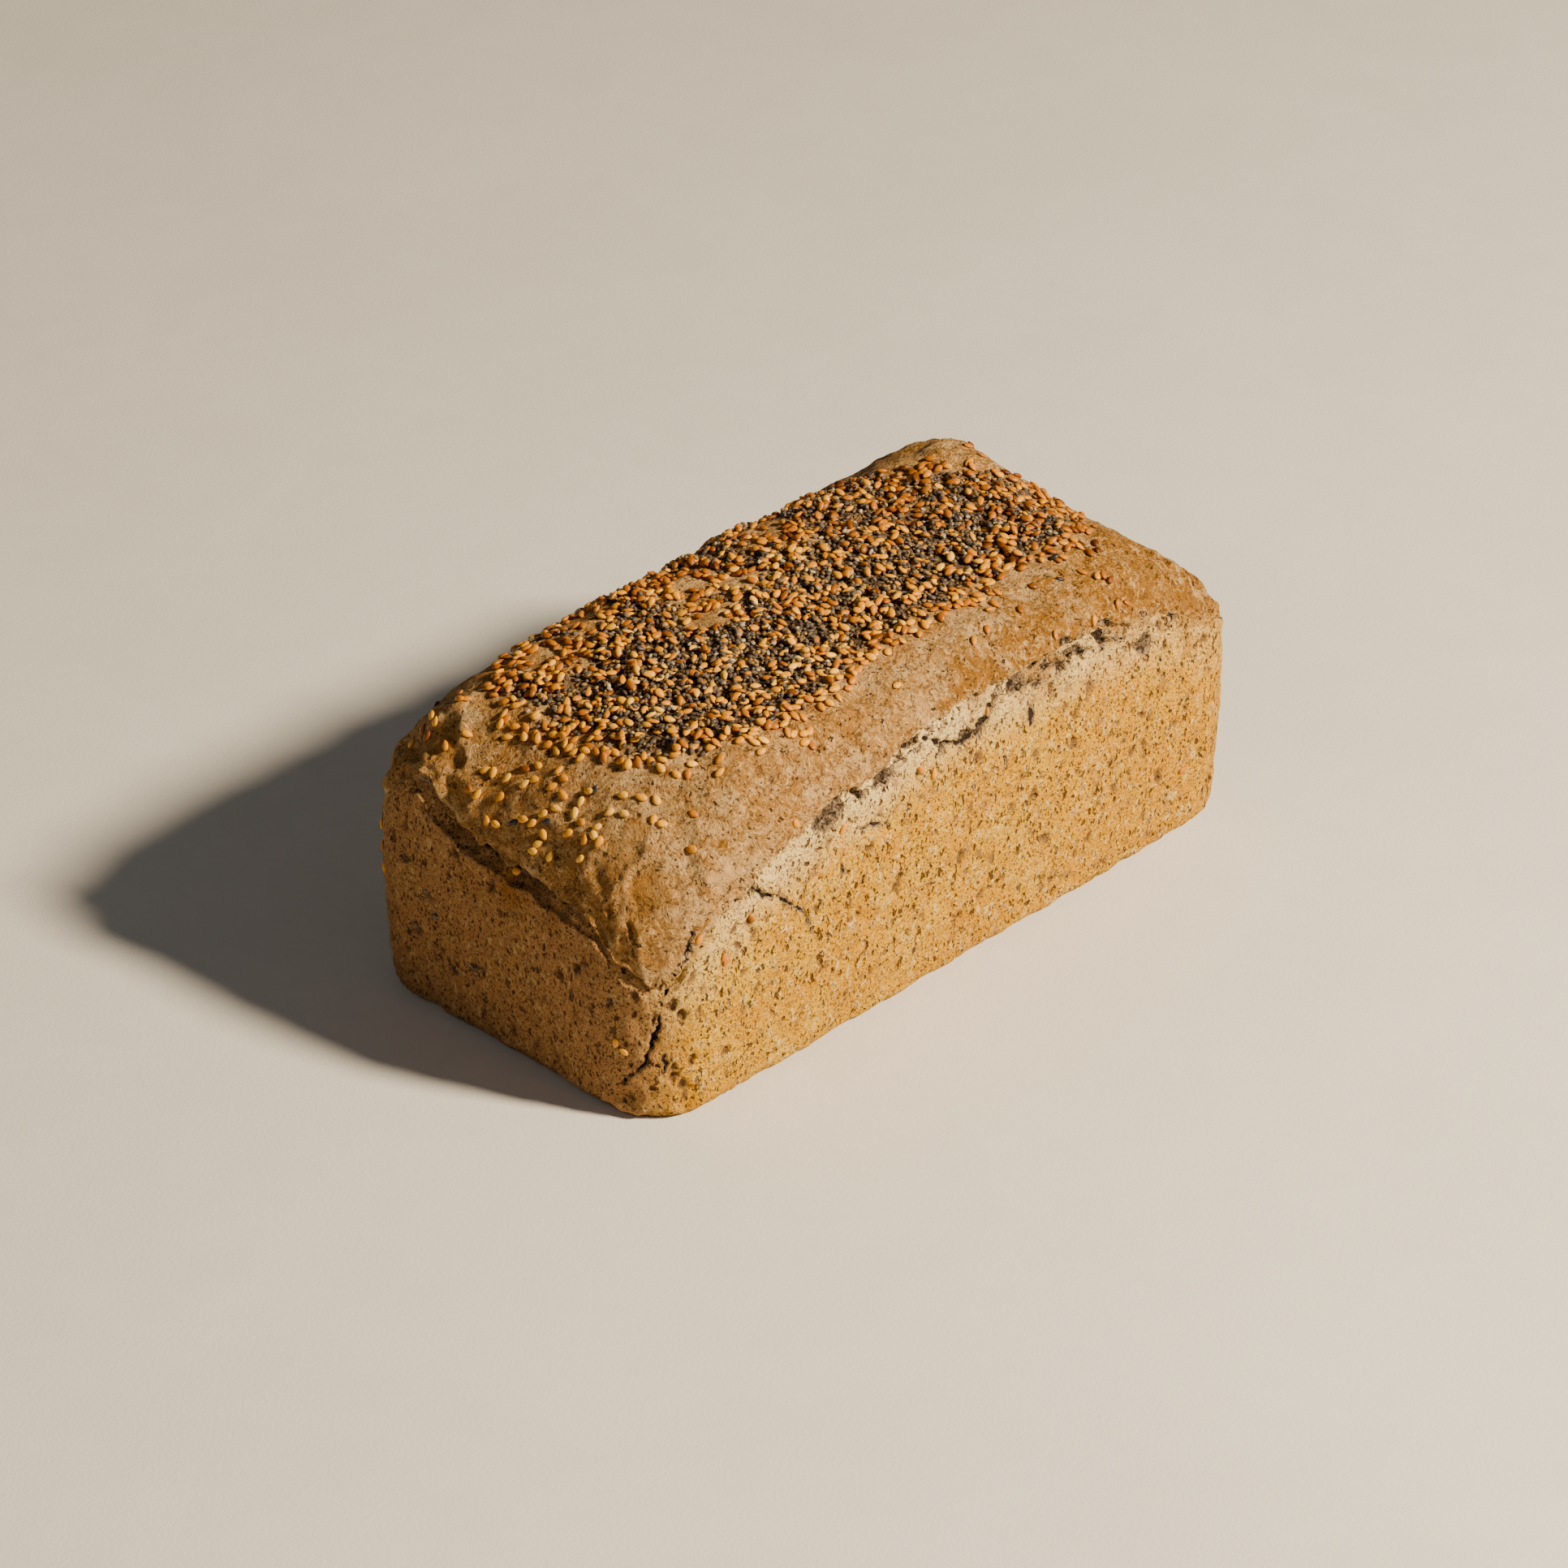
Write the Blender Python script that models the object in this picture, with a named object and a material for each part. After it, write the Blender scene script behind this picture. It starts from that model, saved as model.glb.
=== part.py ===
"""Gluten-free tin loaf with a seeded crust, one solid, in metres.

+X runs along the loaf, the long side with the torn crust faces -Y, the short end
with the open tear faces -X, and the origin is on the table under the middle.
"""

import math
import random

import bmesh
import bpy
from mathutils import Euler, Matrix, Vector, noise
from mathutils.bvhtree import BVHTree

# The tin: half sizes at the crust's lip, and how its wall leans and rounds
HALF_LENGTH = 0.1150
HALF_WIDTH = 0.0570
CORNER_RADIUS = 0.021
BASE_RADIUS = 0.004
TAPER = 0.0012
BELLY = 0.0010

# The dome: crown height along the loaf, its fall across, and local swells
CROWN = (
    (-0.115, 0.080), (-0.100, 0.087), (-0.080, 0.0925), (-0.050, 0.0960),
    (0.000, 0.0970), (0.040, 0.0960), (0.070, 0.0945), (0.090, 0.0880), (0.115, 0.074),
)
CROWN_LEAN = -0.005
CROSS_FALL = 0.0045
# Each swell: x, y, reach along, reach across, rise
SWELLS = (
    (0.085, 0.026, 0.014, 0.019, 0.0090),
    (-0.099, 0.038, 0.010, 0.011, 0.0050),
    (-0.060, -0.046, 0.022, 0.010, 0.0016),
    (0.060, -0.044, 0.020, 0.010, 0.0014),
)
# Share of the way out from the middle at which each shoulder starts to round over
SHOULDER_FRONT = 0.65
SHOULDER_BACK = 0.37
SHOULDER_FAR = 0.60
SHOULDER_NEAR = ((-0.057, 0.65), (0.000, 0.68), (0.045, 0.76), (0.057, 0.74))
SHOULDER_POWER = 2.2

# The crust's lower edge: height above the table, by place along each side
RIM_FRONT = (
    (-0.115, 0.048), (-0.106, 0.046), (-0.102, 0.053), (-0.097, 0.059), (-0.084, 0.062),
    (-0.078, 0.068), (-0.061, 0.0725), (-0.050, 0.077), (-0.036, 0.0775), (-0.025, 0.082),
    (0.000, 0.0855), (0.015, 0.0835), (0.031, 0.086), (0.053, 0.0835), (0.077, 0.0775),
    (0.098, 0.068), (0.115, 0.061),
)
RIM_NEAR = (
    (-0.057, 0.046), (-0.049, 0.045), (-0.043, 0.049), (-0.038, 0.055), (-0.028, 0.0592),
    (-0.015, 0.060), (0.000, 0.062), (0.016, 0.0645), (0.023, 0.068), (0.029, 0.073),
    (0.036, 0.070), (0.046, 0.062), (0.057, 0.058),
)
RIM_BACK = (
    (-0.115, 0.057), (-0.070, 0.056), (-0.020, 0.060), (0.030, 0.056), (0.075, 0.061), (0.115, 0.056),
)
RIM_FAR = ((-0.057, 0.062), (-0.020, 0.064), (0.020, 0.060), (0.057, 0.056))

# Where the long sides and the ends begin to count, as shares of the way out to the wall
LONG_SIDE_TURN = (0.55, 0.98)
END_TURN = (0.78, 1.00)

# How ragged the crust's edge is, and over what width
RIM_RAGGED = (0.0012, 0.012)

# How far the crust's lip stands out over the tin's wall, or back from it where negative
LIP_FRONT = ((-0.115, 0.0008), (0.060, 0.0006), (0.090, -0.0014), (0.115, -0.0024))
LIP_NEAR = ((-0.057, 0.0008), (0.030, 0.0010), (0.045, 0.0002), (0.057, -0.0006))
LIP_BACK = 0.0002
LIP_FAR = -0.0020

# The tear under the crust's edge: its height, and its depth by place
TEAR_HEIGHT = 0.0050
TEAR_FRONT = (
    (-0.115, 0.0012), (-0.097, 0.0016), (-0.080, 0.0007), (-0.055, 0.0016), (-0.034, 0.0008),
    (-0.018, 0.0022), (0.003, 0.0018), (0.014, 0.0009), (0.030, 0.0026), (0.048, 0.0020),
    (0.070, 0.0010), (0.115, 0.0006),
)
TEAR_NEAR = (
    (-0.057, 0.0014), (-0.047, 0.0026), (-0.036, 0.0018), (-0.022, 0.0028), (-0.005, 0.0038),
    (0.012, 0.0060), (0.022, 0.0048), (0.030, 0.0018), (0.040, 0.0006), (0.057, 0.0005),
)
TEAR_BACK = ((-0.115, 0.0006), (-0.060, 0.0016), (0.010, 0.0008), (0.060, 0.0018), (0.115, 0.0008))
TEAR_FAR = ((-0.057, 0.0006), (-0.015, 0.0018), (0.025, 0.0010), (0.057, 0.0008))

# The mesh: columns along and across, and how much closer they stand at a corner
COLUMNS_LONG = 38
COLUMNS_WIDE = 18
EDGE_CROWDING = 0.30
# Rows round the base's curve: shares of its radius, up from the table and in from the wall
BASE_ROWS = ((0.0, 1.0), (0.3, 0.29), (1.0, 0.0))
# Rows up the plain wall: shares of the way from the base's curve to the tear's sill
WALL_ROWS = (0.27, 0.52, 0.77)
# Rows through the tear: share of its height below the crust's edge, of its depth, and of the lip
TEAR_ROWS = ((1.0, 0.0, 0.3), (0.70, 0.9, 0.0), (0.30, 1.0, 0.0), (0.16, 0.0, 1.0), (0.0, 0.0, 1.0))
WALL_ROW_COUNT = len(BASE_ROWS) + len(WALL_ROWS) + len(TEAR_ROWS)
# Past this height a point of the unit cube belongs to its top face
TOP_OF_CUBE = 0.999

# Unevenness of the baked surface: height of each swell of noise and its width
DOME_LUMPS = ((0.0011, 0.030), (0.0005, 0.012))
WALL_LUMPS = ((0.0004, 0.040), (0.0003, 0.013))

# Cracks in the tin's wall: half width, and x, y, z that each runs through from end to end.
# A crack takes steps between its points, and narrows to its tips.
FRONT_CRACK_WIDTH = 0.0013
FRONT_CRACK = (
    (-0.0830, -0.057, 0.0615), (-0.0755, -0.057, 0.0585), (-0.0665, -0.057, 0.0520),
    (-0.0615, -0.057, 0.0462), (-0.0600, -0.057, 0.0410), (-0.0550, -0.057, 0.0330),
)
CORNER_CRACK_WIDTH = 0.0015
CORNER_CRACK = (
    (-0.1078, -0.0527, 0.0430), (-0.1081, -0.0526, 0.0346), (-0.1092, -0.0516, 0.0304),
    (-0.1103, -0.0503, 0.0260), (-0.1112, -0.0487, 0.0200), (-0.1132, -0.0439, 0.0142),
    (-0.1138, -0.0399, 0.0090),
)
RIGHT_CRACK_WIDTH = 0.0009
RIGHT_CRACK = ((0.0770, -0.057, 0.0710), (0.0763, -0.057, 0.0650), (0.0775, -0.057, 0.0590))
CRACK_STEPS = 2
CRACK_TIP = 0.3

# Torn pockets on the long side: x, z, half width, half height, depth
POCKETS = (
    (-0.0520, 0.0705, 0.0052, 0.0048, 0.0017),
    (-0.0310, 0.0735, 0.0034, 0.0024, 0.0013),
    (-0.0150, 0.0745, 0.0042, 0.0026, 0.0020),
    (-0.0015, 0.0722, 0.0046, 0.0022, 0.0018),
    (0.0220, 0.0785, 0.0040, 0.0026, 0.0019),
    (0.0350, 0.0800, 0.0050, 0.0024, 0.0022),
    (0.0545, 0.0770, 0.0026, 0.0028, 0.0024),
    (0.0700, 0.0690, 0.0036, 0.0030, 0.0014),
)

# Sesame seeds: real size, how far one stands out, spacing, and how many lie where
SEED_LENGTH = 0.0033
SEED_WIDTH = 0.0020
SEED_THICKNESS = 0.0012
SEED_TIP = 0.40
SEED_ROUND = 0.57
SEED_PROUD = 0.00030
SEED_SPACING = 0.0062
SEEDS_ON_CROWN = 154
SEEDS_ON_SLOPE = 22
SEEDS_ON_SHOULDER = 8
DRAWS_PER_SEED = 400
RANDOM_SEED = 11
CROWN_SEEDS_FRONT = (
    (-0.096, 0.010), (-0.093, -0.018), (-0.080, -0.039), (-0.055, -0.0465), (-0.020, -0.042),
    (0.020, -0.038), (0.062, -0.036), (0.080, -0.027), (0.091, -0.010),
)
CROWN_SEEDS_BACK = (
    (-0.096, 0.018), (-0.085, 0.036), (-0.050, 0.046), (0.040, 0.044), (0.060, 0.030),
    (0.080, 0.011), (0.091, -0.006),
)
CROWN_SEEDS_ENDS = (-0.095, 0.090)
SLOPE_SEEDS = ((-0.112, -0.097), (-0.044, 0.034))
SHOULDER_SEEDS = ((-0.060, 0.080), (-0.0535, -0.0460))
SEED_MOST_TILT = 0.15

# Material slots of the loaf, in order
CRUST, CRUMB, SEED = range(3)


def smooth_step(low, high, value):
    share = min(max((value - low) / (high - low), 0.0), 1.0)
    return share * share * (3.0 - 2.0 * share)


def along(points, place):
    """Value at a place on the smooth curve through points, each given as (place, value)."""
    if place <= points[0][0]:
        return points[0][1]
    if place >= points[-1][0]:
        return points[-1][1]
    index = next(i for i, point in enumerate(points) if point[0] > place)
    before, start = points[max(index - 2, 0)], points[index - 1]
    end, after = points[index], points[min(index + 1, len(points) - 1)]
    gap = end[0] - start[0]
    leave = gap * (end[1] - before[1]) / (end[0] - before[0])
    arrive = gap * (after[1] - start[1]) / (after[0] - start[0])
    t = (place - start[0]) / gap
    rise = end[1] - start[1]
    bend = 3 * rise - 2 * leave - arrive
    twist = leave + arrive - 2 * rise
    return start[1] + leave * t + bend * t**2 + twist * t**3


def by_side(x, y, front, back, near, far):
    """Blend of four values by the side of the loaf that (x, y) is on, turning smoothly at the corners."""
    weights = (
        smooth_step(*LONG_SIDE_TURN, -y / HALF_WIDTH),
        smooth_step(*LONG_SIDE_TURN, y / HALF_WIDTH),
        smooth_step(*END_TURN, -x / HALF_LENGTH),
        smooth_step(*END_TURN, x / HALF_LENGTH),
    )
    total = sum(weights)
    return sum(w * value for w, value in zip(weights, (front, back, near, far))) / total


def outline(u, v, grow):
    """Point of the rounded plan, grown outwards, for a point (u, v) on the edge of the unit square."""
    half_x = HALF_LENGTH + grow
    half_y = HALF_WIDTH + grow
    radius = CORNER_RADIUS + grow
    x, y = u * half_x, v * half_y
    core = Vector((
        min(max(x, radius - half_x), half_x - radius),
        min(max(y, radius - half_y), half_y - radius),
    ))
    return core + (Vector((x, y)) - core).normalized() * radius


def rim_height(x, y):
    height = by_side(x, y, along(RIM_FRONT, x), along(RIM_BACK, x), along(RIM_NEAR, y), along(RIM_FAR, y))
    ragged, width = RIM_RAGGED
    return height + ragged * noise.noise(Vector((x, y, 0.0)) / width)


def tear_depth(x, y):
    return by_side(x, y, along(TEAR_FRONT, x), along(TEAR_BACK, x), along(TEAR_NEAR, y), along(TEAR_FAR, y))


def lip_overhang(x, y):
    return by_side(x, y, along(LIP_FRONT, x), LIP_BACK, along(LIP_NEAR, y), LIP_FAR)


def shoulder_start(x, y):
    return by_side(x, y, SHOULDER_FRONT, SHOULDER_BACK, along(SHOULDER_NEAR, y), SHOULDER_FAR)


def crown_height(x, y):
    height = along(CROWN, x) - CROSS_FALL * ((y - CROWN_LEAN) / HALF_WIDTH) ** 2
    for swell_x, swell_y, reach_x, reach_y, rise in SWELLS:
        height += rise * math.exp(-(((x - swell_x) / reach_x) ** 2) - ((y - swell_y) / reach_y) ** 2)
    return height


def wall_rows(rim, tear, lip):
    """Height and outward push of each row of the wall, from the table up to the crust's lip."""
    plain = rim - TEAR_HEIGHT - BASE_RADIUS
    rows = [(up * BASE_RADIUS, -inset * BASE_RADIUS) for up, inset in BASE_ROWS]
    rows += [(BASE_RADIUS + share * plain, 0.0) for share in WALL_ROWS]
    rows += [(rim - drop * TEAR_HEIGHT, over * lip - deep * tear) for drop, deep, over in TEAR_ROWS]
    return rows


def wall_point(u, v, row):
    foot = outline(u, v, 0.0)
    rim = rim_height(foot.x, foot.y)
    height, push = wall_rows(rim, tear_depth(foot.x, foot.y), lip_overhang(foot.x, foot.y))[row]
    share = height / rim
    place = outline(u, v, push - TAPER * (1.0 - share) + BELLY * math.sin(math.pi * share))
    return Vector((place.x, place.y, height))


def dome_point(u, v):
    reach = max(abs(u), abs(v))
    if reach < 1e-6:
        return Vector((0.0, 0.0, crown_height(0.0, 0.0)))
    foot = outline(u / reach, v / reach, 0.0)
    rim = rim_height(foot.x, foot.y)
    start = shoulder_start(foot.x, foot.y)
    over = max((reach - start) / (1.0 - start), 0.0)
    place = outline(u / reach, v / reach, lip_overhang(foot.x, foot.y)) * reach
    rise = (crown_height(place.x, place.y) - rim) * math.sqrt(max(1.0 - over**SHOULDER_POWER, 0.0))
    return Vector((place.x, place.y, rim + rise))


def lumps(place, layers):
    """Smooth random rise and fall of the surface, summed over layers of (height, width)."""
    return sum(height * noise.noise(place / width) for height, width in layers)


def crowd(value):
    """Moves columns towards the edges, where the loaf turns most."""
    return value * (1.0 + EDGE_CROWDING - EDGE_CROWDING * value * value)


def divided_cube():
    """A cube of half size 1 whose sides are cut into columns and rows of four-sided faces."""
    bm = bmesh.new()
    bmesh.ops.create_cube(bm, size=2.0)
    cuts = (COLUMNS_LONG - 1, COLUMNS_WIDE - 1, WALL_ROW_COUNT - 2)
    for axis, count in enumerate(cuts):
        edges = [e for e in bm.edges if abs((e.verts[0].co - e.verts[1].co)[axis]) > 1e-4]
        bmesh.ops.subdivide_edges(bm, edges=edges, cuts=count, use_grid_fill=True)
    return bm


def loaf_body():
    """The loaf without its seeds: the tin's walls, the tear round the crust and the risen dome."""
    bm = divided_cube()
    bmesh.ops.dissolve_faces(bm, faces=[f for f in bm.faces if f.calc_center_median().z < -TOP_OF_CUBE])
    for face in bm.faces:
        face.material_index = CRUST if face.calc_center_median().z > TOP_OF_CUBE else CRUMB
    dome = {vert for vert in bm.verts if vert.co.z > TOP_OF_CUBE}
    for vert in bm.verts:
        u, v = crowd(vert.co.x), crowd(vert.co.y)
        if vert in dome:
            vert.co = dome_point(u, v)
        else:
            vert.co = wall_point(u, v, round((vert.co.z + 1.0) / 2.0 * (WALL_ROW_COUNT - 1)))
    bm.normal_update()
    for vert in bm.verts:
        if vert.co.z > BASE_RADIUS:
            vert.co += vert.normal * lumps(vert.co, DOME_LUMPS if vert in dome else WALL_LUMPS)
    bm.normal_update()
    return bm


def add_object(name, mesh, collection, materials=()):
    for material in materials:
        mesh.materials.append(material)
    obj = bpy.data.objects.new(name, mesh)
    collection.objects.link(obj)
    return obj


def object_from_bmesh(name, bm, collection, materials=()):
    mesh = bpy.data.meshes.new(name)
    bm.to_mesh(mesh)
    bm.free()
    return add_object(name, mesh, collection, materials)


def surface_point(tree, start, aim):
    """Where a look from start towards aim first meets the loaf, and which way the surface faces there."""
    place, normal, _, _ = tree.ray_cast(start, (aim - start).normalized())
    return place, normal


def on_wall(tree, x, y, z):
    """The wall's own point nearest to one that was given roughly, round the corners too."""
    core = Vector((
        min(max(x, CORNER_RADIUS - HALF_LENGTH), HALF_LENGTH - CORNER_RADIUS),
        min(max(y, CORNER_RADIUS - HALF_WIDTH), HALF_WIDTH - CORNER_RADIUS),
        z,
    ))
    out = (Vector((x, y, z)) - core).normalized()
    return surface_point(tree, core + out, core)


def crack_cutter(name, tree, points, half_width, collection):
    """A four-sided tapered tube half sunk in the wall along the points."""
    curve = bpy.data.curves.new(name, "CURVE")
    curve.dimensions = "3D"
    curve.bevel_depth = half_width
    curve.bevel_resolution = 0
    curve.use_fill_caps = True
    spline = curve.splines.new("POLY")
    steps = CRACK_STEPS * (len(points) - 1)
    spline.points.add(steps)
    for index, point in enumerate(spline.points):
        share = index / steps * (len(points) - 1)
        first = min(int(share), len(points) - 2)
        place, _ = on_wall(tree, *Vector(points[first]).lerp(points[first + 1], share - first))
        point.co = (*place, 1.0)
        point.radius = max(math.sin(math.pi * index / steps), CRACK_TIP)
    guide = bpy.data.objects.new(name, curve)
    collection.objects.link(guide)
    bpy.context.view_layer.update()
    mesh = bpy.data.meshes.new_from_object(guide.evaluated_get(bpy.context.evaluated_depsgraph_get()))
    bpy.data.objects.remove(guide)
    bm = bmesh.new()
    bm.from_mesh(mesh)
    bmesh.ops.remove_doubles(bm, verts=bm.verts, dist=1e-6)
    bmesh.ops.recalc_face_normals(bm, faces=bm.faces)
    bm.to_mesh(mesh)
    bm.free()
    return add_object(name, mesh, collection)


def pocket_cutter(name, tree, x, z, half_width, half_height, depth, collection):
    """A flattened ball that leaves a shallow torn pocket in the long side."""
    place, normal = on_wall(tree, x, -HALF_WIDTH, z)
    bm = bmesh.new()
    bmesh.ops.create_uvsphere(bm, u_segments=7, v_segments=4, radius=1.0)
    size = Matrix.Diagonal((half_width, depth, half_height, 1.0))
    turn = normal.to_track_quat("-Y", "Z").to_matrix().to_4x4()
    bmesh.ops.transform(bm, matrix=Matrix.Translation(place) @ turn @ size, verts=bm.verts)
    return object_from_bmesh(name, bm, collection)


def seed_object(name, place, normal, turn, tilt, collection, material):
    """One sesame seed, a flattened drop lying half sunk in the crust."""
    bm = bmesh.new()
    bmesh.ops.create_icosphere(bm, subdivisions=1, radius=SEED_ROUND)
    bmesh.ops.rotate(bm, verts=bm.verts, matrix=Matrix.Rotation(math.pi / 2, 3, "Y"))
    for vert in bm.verts:
        vert.co.y *= 1.0 - SEED_TIP * (vert.co.x + 0.5)
    lie = normal.to_track_quat("Z", "Y") @ Euler((tilt, tilt, turn)).to_quaternion()
    size = Matrix.Diagonal((SEED_LENGTH, SEED_WIDTH, SEED_THICKNESS, 1.0))
    matrix = Matrix.Translation(place + normal * SEED_PROUD) @ lie.to_matrix().to_4x4() @ size
    bmesh.ops.transform(bm, matrix=matrix, verts=bm.verts)
    return object_from_bmesh(name, bm, collection, (material,))


def in_crown_patch(x, y):
    return along(CROWN_SEEDS_FRONT, x) < y < along(CROWN_SEEDS_BACK, x)


def seed_places(tree):
    """Even random places for the seeds: the crown's patch, the near slope and the front shoulder."""
    draw = random.Random(RANDOM_SEED)
    crown_box = (CROWN_SEEDS_ENDS, (-HALF_WIDTH, HALF_WIDTH))
    areas = (
        (SEEDS_ON_CROWN, crown_box, in_crown_patch),
        (SEEDS_ON_SLOPE, SLOPE_SEEDS, lambda x, y: not in_crown_patch(x, y)),
        (SEEDS_ON_SHOULDER, SHOULDER_SEEDS, lambda x, y: not in_crown_patch(x, y)),
    )
    places = []
    for count, (xs, ys), belongs in areas:
        found = 0
        for _ in range(count * DRAWS_PER_SEED):
            x, y = draw.uniform(*xs), draw.uniform(*ys)
            if found == count or not belongs(x, y):
                continue
            place, normal = surface_point(tree, Vector((x, y, 1.0)), Vector((x, y, 0.0)))
            if all((place - other).length > SEED_SPACING for other, _ in places):
                places.append((place, normal))
                found += 1
    return places


def keep_outer_shell(mesh):
    """Drops loose scraps and sealed hollows, keeping the one shell with the most corners."""
    bm = bmesh.new()
    bm.from_mesh(mesh)
    left = set(bm.verts)
    shells = []
    while left:
        shell, edge_of_shell = set(), [left.pop()]
        while edge_of_shell:
            vert = edge_of_shell.pop()
            shell.add(vert)
            linked = {e.other_vert(vert) for e in vert.link_edges} & left
            left -= linked
            edge_of_shell += linked
        shells.append(shell)
    whole = max(shells, key=len)
    bmesh.ops.delete(bm, geom=[v for v in bm.verts if v not in whole], context="VERTS")
    bm.to_mesh(mesh)
    bm.free()


def centre_on_base(mesh):
    """Shifts the loaf sideways so that the origin is under the middle of its outline."""
    corners = [vert.co for vert in mesh.vertices]
    middle = [(min(c[axis] for c in corners) + max(c[axis] for c in corners)) / 2 for axis in (0, 1)]
    mesh.transform(Matrix.Translation((-middle[0], -middle[1], 0.0)))


def principled(name, colour, roughness):
    material = bpy.data.materials.new(name)
    material.use_nodes = True
    shader = material.node_tree.nodes["Principled BSDF"]
    shader.inputs["Base Color"].default_value = (*colour, 1.0)
    shader.inputs["Roughness"].default_value = roughness
    shader.inputs["Metallic"].default_value = 0.0
    return material


def new_collection(name):
    collection = bpy.data.collections.new(name)
    bpy.context.scene.collection.children.link(collection)
    return collection


def clear_scene():
    for obj in list(bpy.data.objects):
        bpy.data.objects.remove(obj)
    for collection in list(bpy.data.collections):
        bpy.data.collections.remove(collection)


def cut_cracks(loaf, tree, cutters):
    cracks = (
        ("front_crack", FRONT_CRACK, FRONT_CRACK_WIDTH),
        ("corner_crack", CORNER_CRACK, CORNER_CRACK_WIDTH),
        ("right_crack", RIGHT_CRACK, RIGHT_CRACK_WIDTH),
    )
    for name, points, half_width in cracks:
        crack_cutter(name, tree, points, half_width, cutters)
    for index, pocket in enumerate(POCKETS):
        pocket_cutter(f"pocket_{index + 1}", tree, *pocket, cutters)
    for cutter in cutters.objects:
        cutter.hide_render = True
        cutter.display_type = "WIRE"
        cut = loaf.modifiers.new(cutter.name, "BOOLEAN")
        cut.operation = "DIFFERENCE"
        cut.solver = "EXACT"
        cut.object = cutter


def fuse_seeds(loaf, seeds):
    fuse = loaf.modifiers.new("seeds", "BOOLEAN")
    fuse.operation = "UNION"
    fuse.operand_type = "COLLECTION"
    fuse.solver = "MANIFOLD"
    fuse.collection = seeds


def apply_modifiers(obj):
    bpy.context.view_layer.update()
    mesh = bpy.data.meshes.new_from_object(obj.evaluated_get(bpy.context.evaluated_depsgraph_get()))
    obj.modifiers.clear()
    obj.data = mesh
    return mesh


def main():
    clear_scene()
    part = new_collection("gluten_free_loaf")
    cutters = new_collection("cutters")
    seeds = new_collection("seeds")
    crust = principled("baked crust", (0.36, 0.25, 0.14), 0.90)
    crumb = principled("tin side crumb", (0.56, 0.38, 0.17), 0.95)
    seed = principled("toasted sesame", (0.66, 0.33, 0.07), 0.45)

    body = loaf_body()
    tree = BVHTree.FromBMesh(body)
    loaf = object_from_bmesh("loaf", body, part, (crust, crumb, seed))
    cut_cracks(loaf, tree, cutters)
    draw = random.Random(RANDOM_SEED)
    for index, (place, normal) in enumerate(seed_places(tree)):
        turn, tilt = draw.uniform(0.0, math.tau), draw.uniform(-SEED_MOST_TILT, SEED_MOST_TILT)
        seed_object(f"seed_{index + 1}", place, normal, turn, tilt, seeds, seed)
    fuse_seeds(loaf, seeds)
    mesh = apply_modifiers(loaf)
    keep_outer_shell(mesh)
    centre_on_base(mesh)
    for obj in list(seeds.objects):
        bpy.data.objects.remove(obj)
    bpy.data.collections.remove(seeds)


if __name__ == "__main__":
    main()
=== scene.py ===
"""The looks of a seeded gluten-free tin loaf, modelled over its packed solid, in metres.

+X runs along the loaf, the long side with the torn crust faces -Y, the short end with
the open tear faces -X, and the loaf stands on the floor at the origin.
"""

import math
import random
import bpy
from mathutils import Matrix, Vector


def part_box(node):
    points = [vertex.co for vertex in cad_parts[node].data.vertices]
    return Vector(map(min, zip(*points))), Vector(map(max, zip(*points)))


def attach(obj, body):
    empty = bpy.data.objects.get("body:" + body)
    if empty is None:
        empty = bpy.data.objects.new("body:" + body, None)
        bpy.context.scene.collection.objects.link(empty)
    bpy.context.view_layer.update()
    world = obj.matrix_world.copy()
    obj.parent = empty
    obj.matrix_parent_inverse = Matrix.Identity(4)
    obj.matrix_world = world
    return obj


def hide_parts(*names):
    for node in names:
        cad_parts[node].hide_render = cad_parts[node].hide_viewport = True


bl_info = {
    "name": "Seeded Gluten-Free Loaf",
    "version": (1, 0, 0),
    "blender": (4, 5, 0),
    "location": "3D View > Sidebar > Loaf",
    "description": "Models the baked surface of a tin loaf over its solid and scatters its seeds",
    "category": "Add Mesh",
}

from collections import namedtuple

import bmesh
import bpy
import numpy as np
from mathutils import Matrix, Vector, noise
from mathutils.bvhtree import BVHTree

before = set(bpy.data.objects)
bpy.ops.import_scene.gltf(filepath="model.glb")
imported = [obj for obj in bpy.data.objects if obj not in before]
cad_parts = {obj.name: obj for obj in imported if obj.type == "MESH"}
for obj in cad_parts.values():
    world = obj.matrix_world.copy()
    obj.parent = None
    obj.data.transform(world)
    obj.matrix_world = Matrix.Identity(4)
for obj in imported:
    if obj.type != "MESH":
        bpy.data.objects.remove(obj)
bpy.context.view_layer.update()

BODY = "root"
SOLID = "loaf"

# The dome: crown height along the loaf, its fall across, and local swells
CROWN = (
    (-0.115, 0.08), (-0.1, 0.087), (-0.08, 0.0925), (-0.05, 0.096), (0.0, 0.097), (0.04, 0.096),
    (0.07, 0.0945), (0.09, 0.088), (0.115, 0.074),
)
CROWN_LEAN = -0.005
CROSS_FALL = 0.0045
# Each swell: x, y, reach along, reach across, rise
SWELLS = (
    (0.085, 0.026, 0.014, 0.019, 0.009), (-0.099, 0.038, 0.01, 0.011, 0.005),
    (-0.06, -0.046, 0.022, 0.01, 0.0016), (0.06, -0.044, 0.02, 0.01, 0.0014),
)
# Share of the way out from the middle at which each shoulder starts to round over
SHOULDER_FRONT = ((0.0, 0.65),)
SHOULDER_BACK = ((0.0, 0.37),)
SHOULDER_FAR = ((0.0, 0.6),)
SHOULDER_NEAR = ((-0.057, 0.65), (0.0, 0.68), (0.045, 0.76), (0.057, 0.74))
SHOULDER_POWER = 2.2

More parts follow.
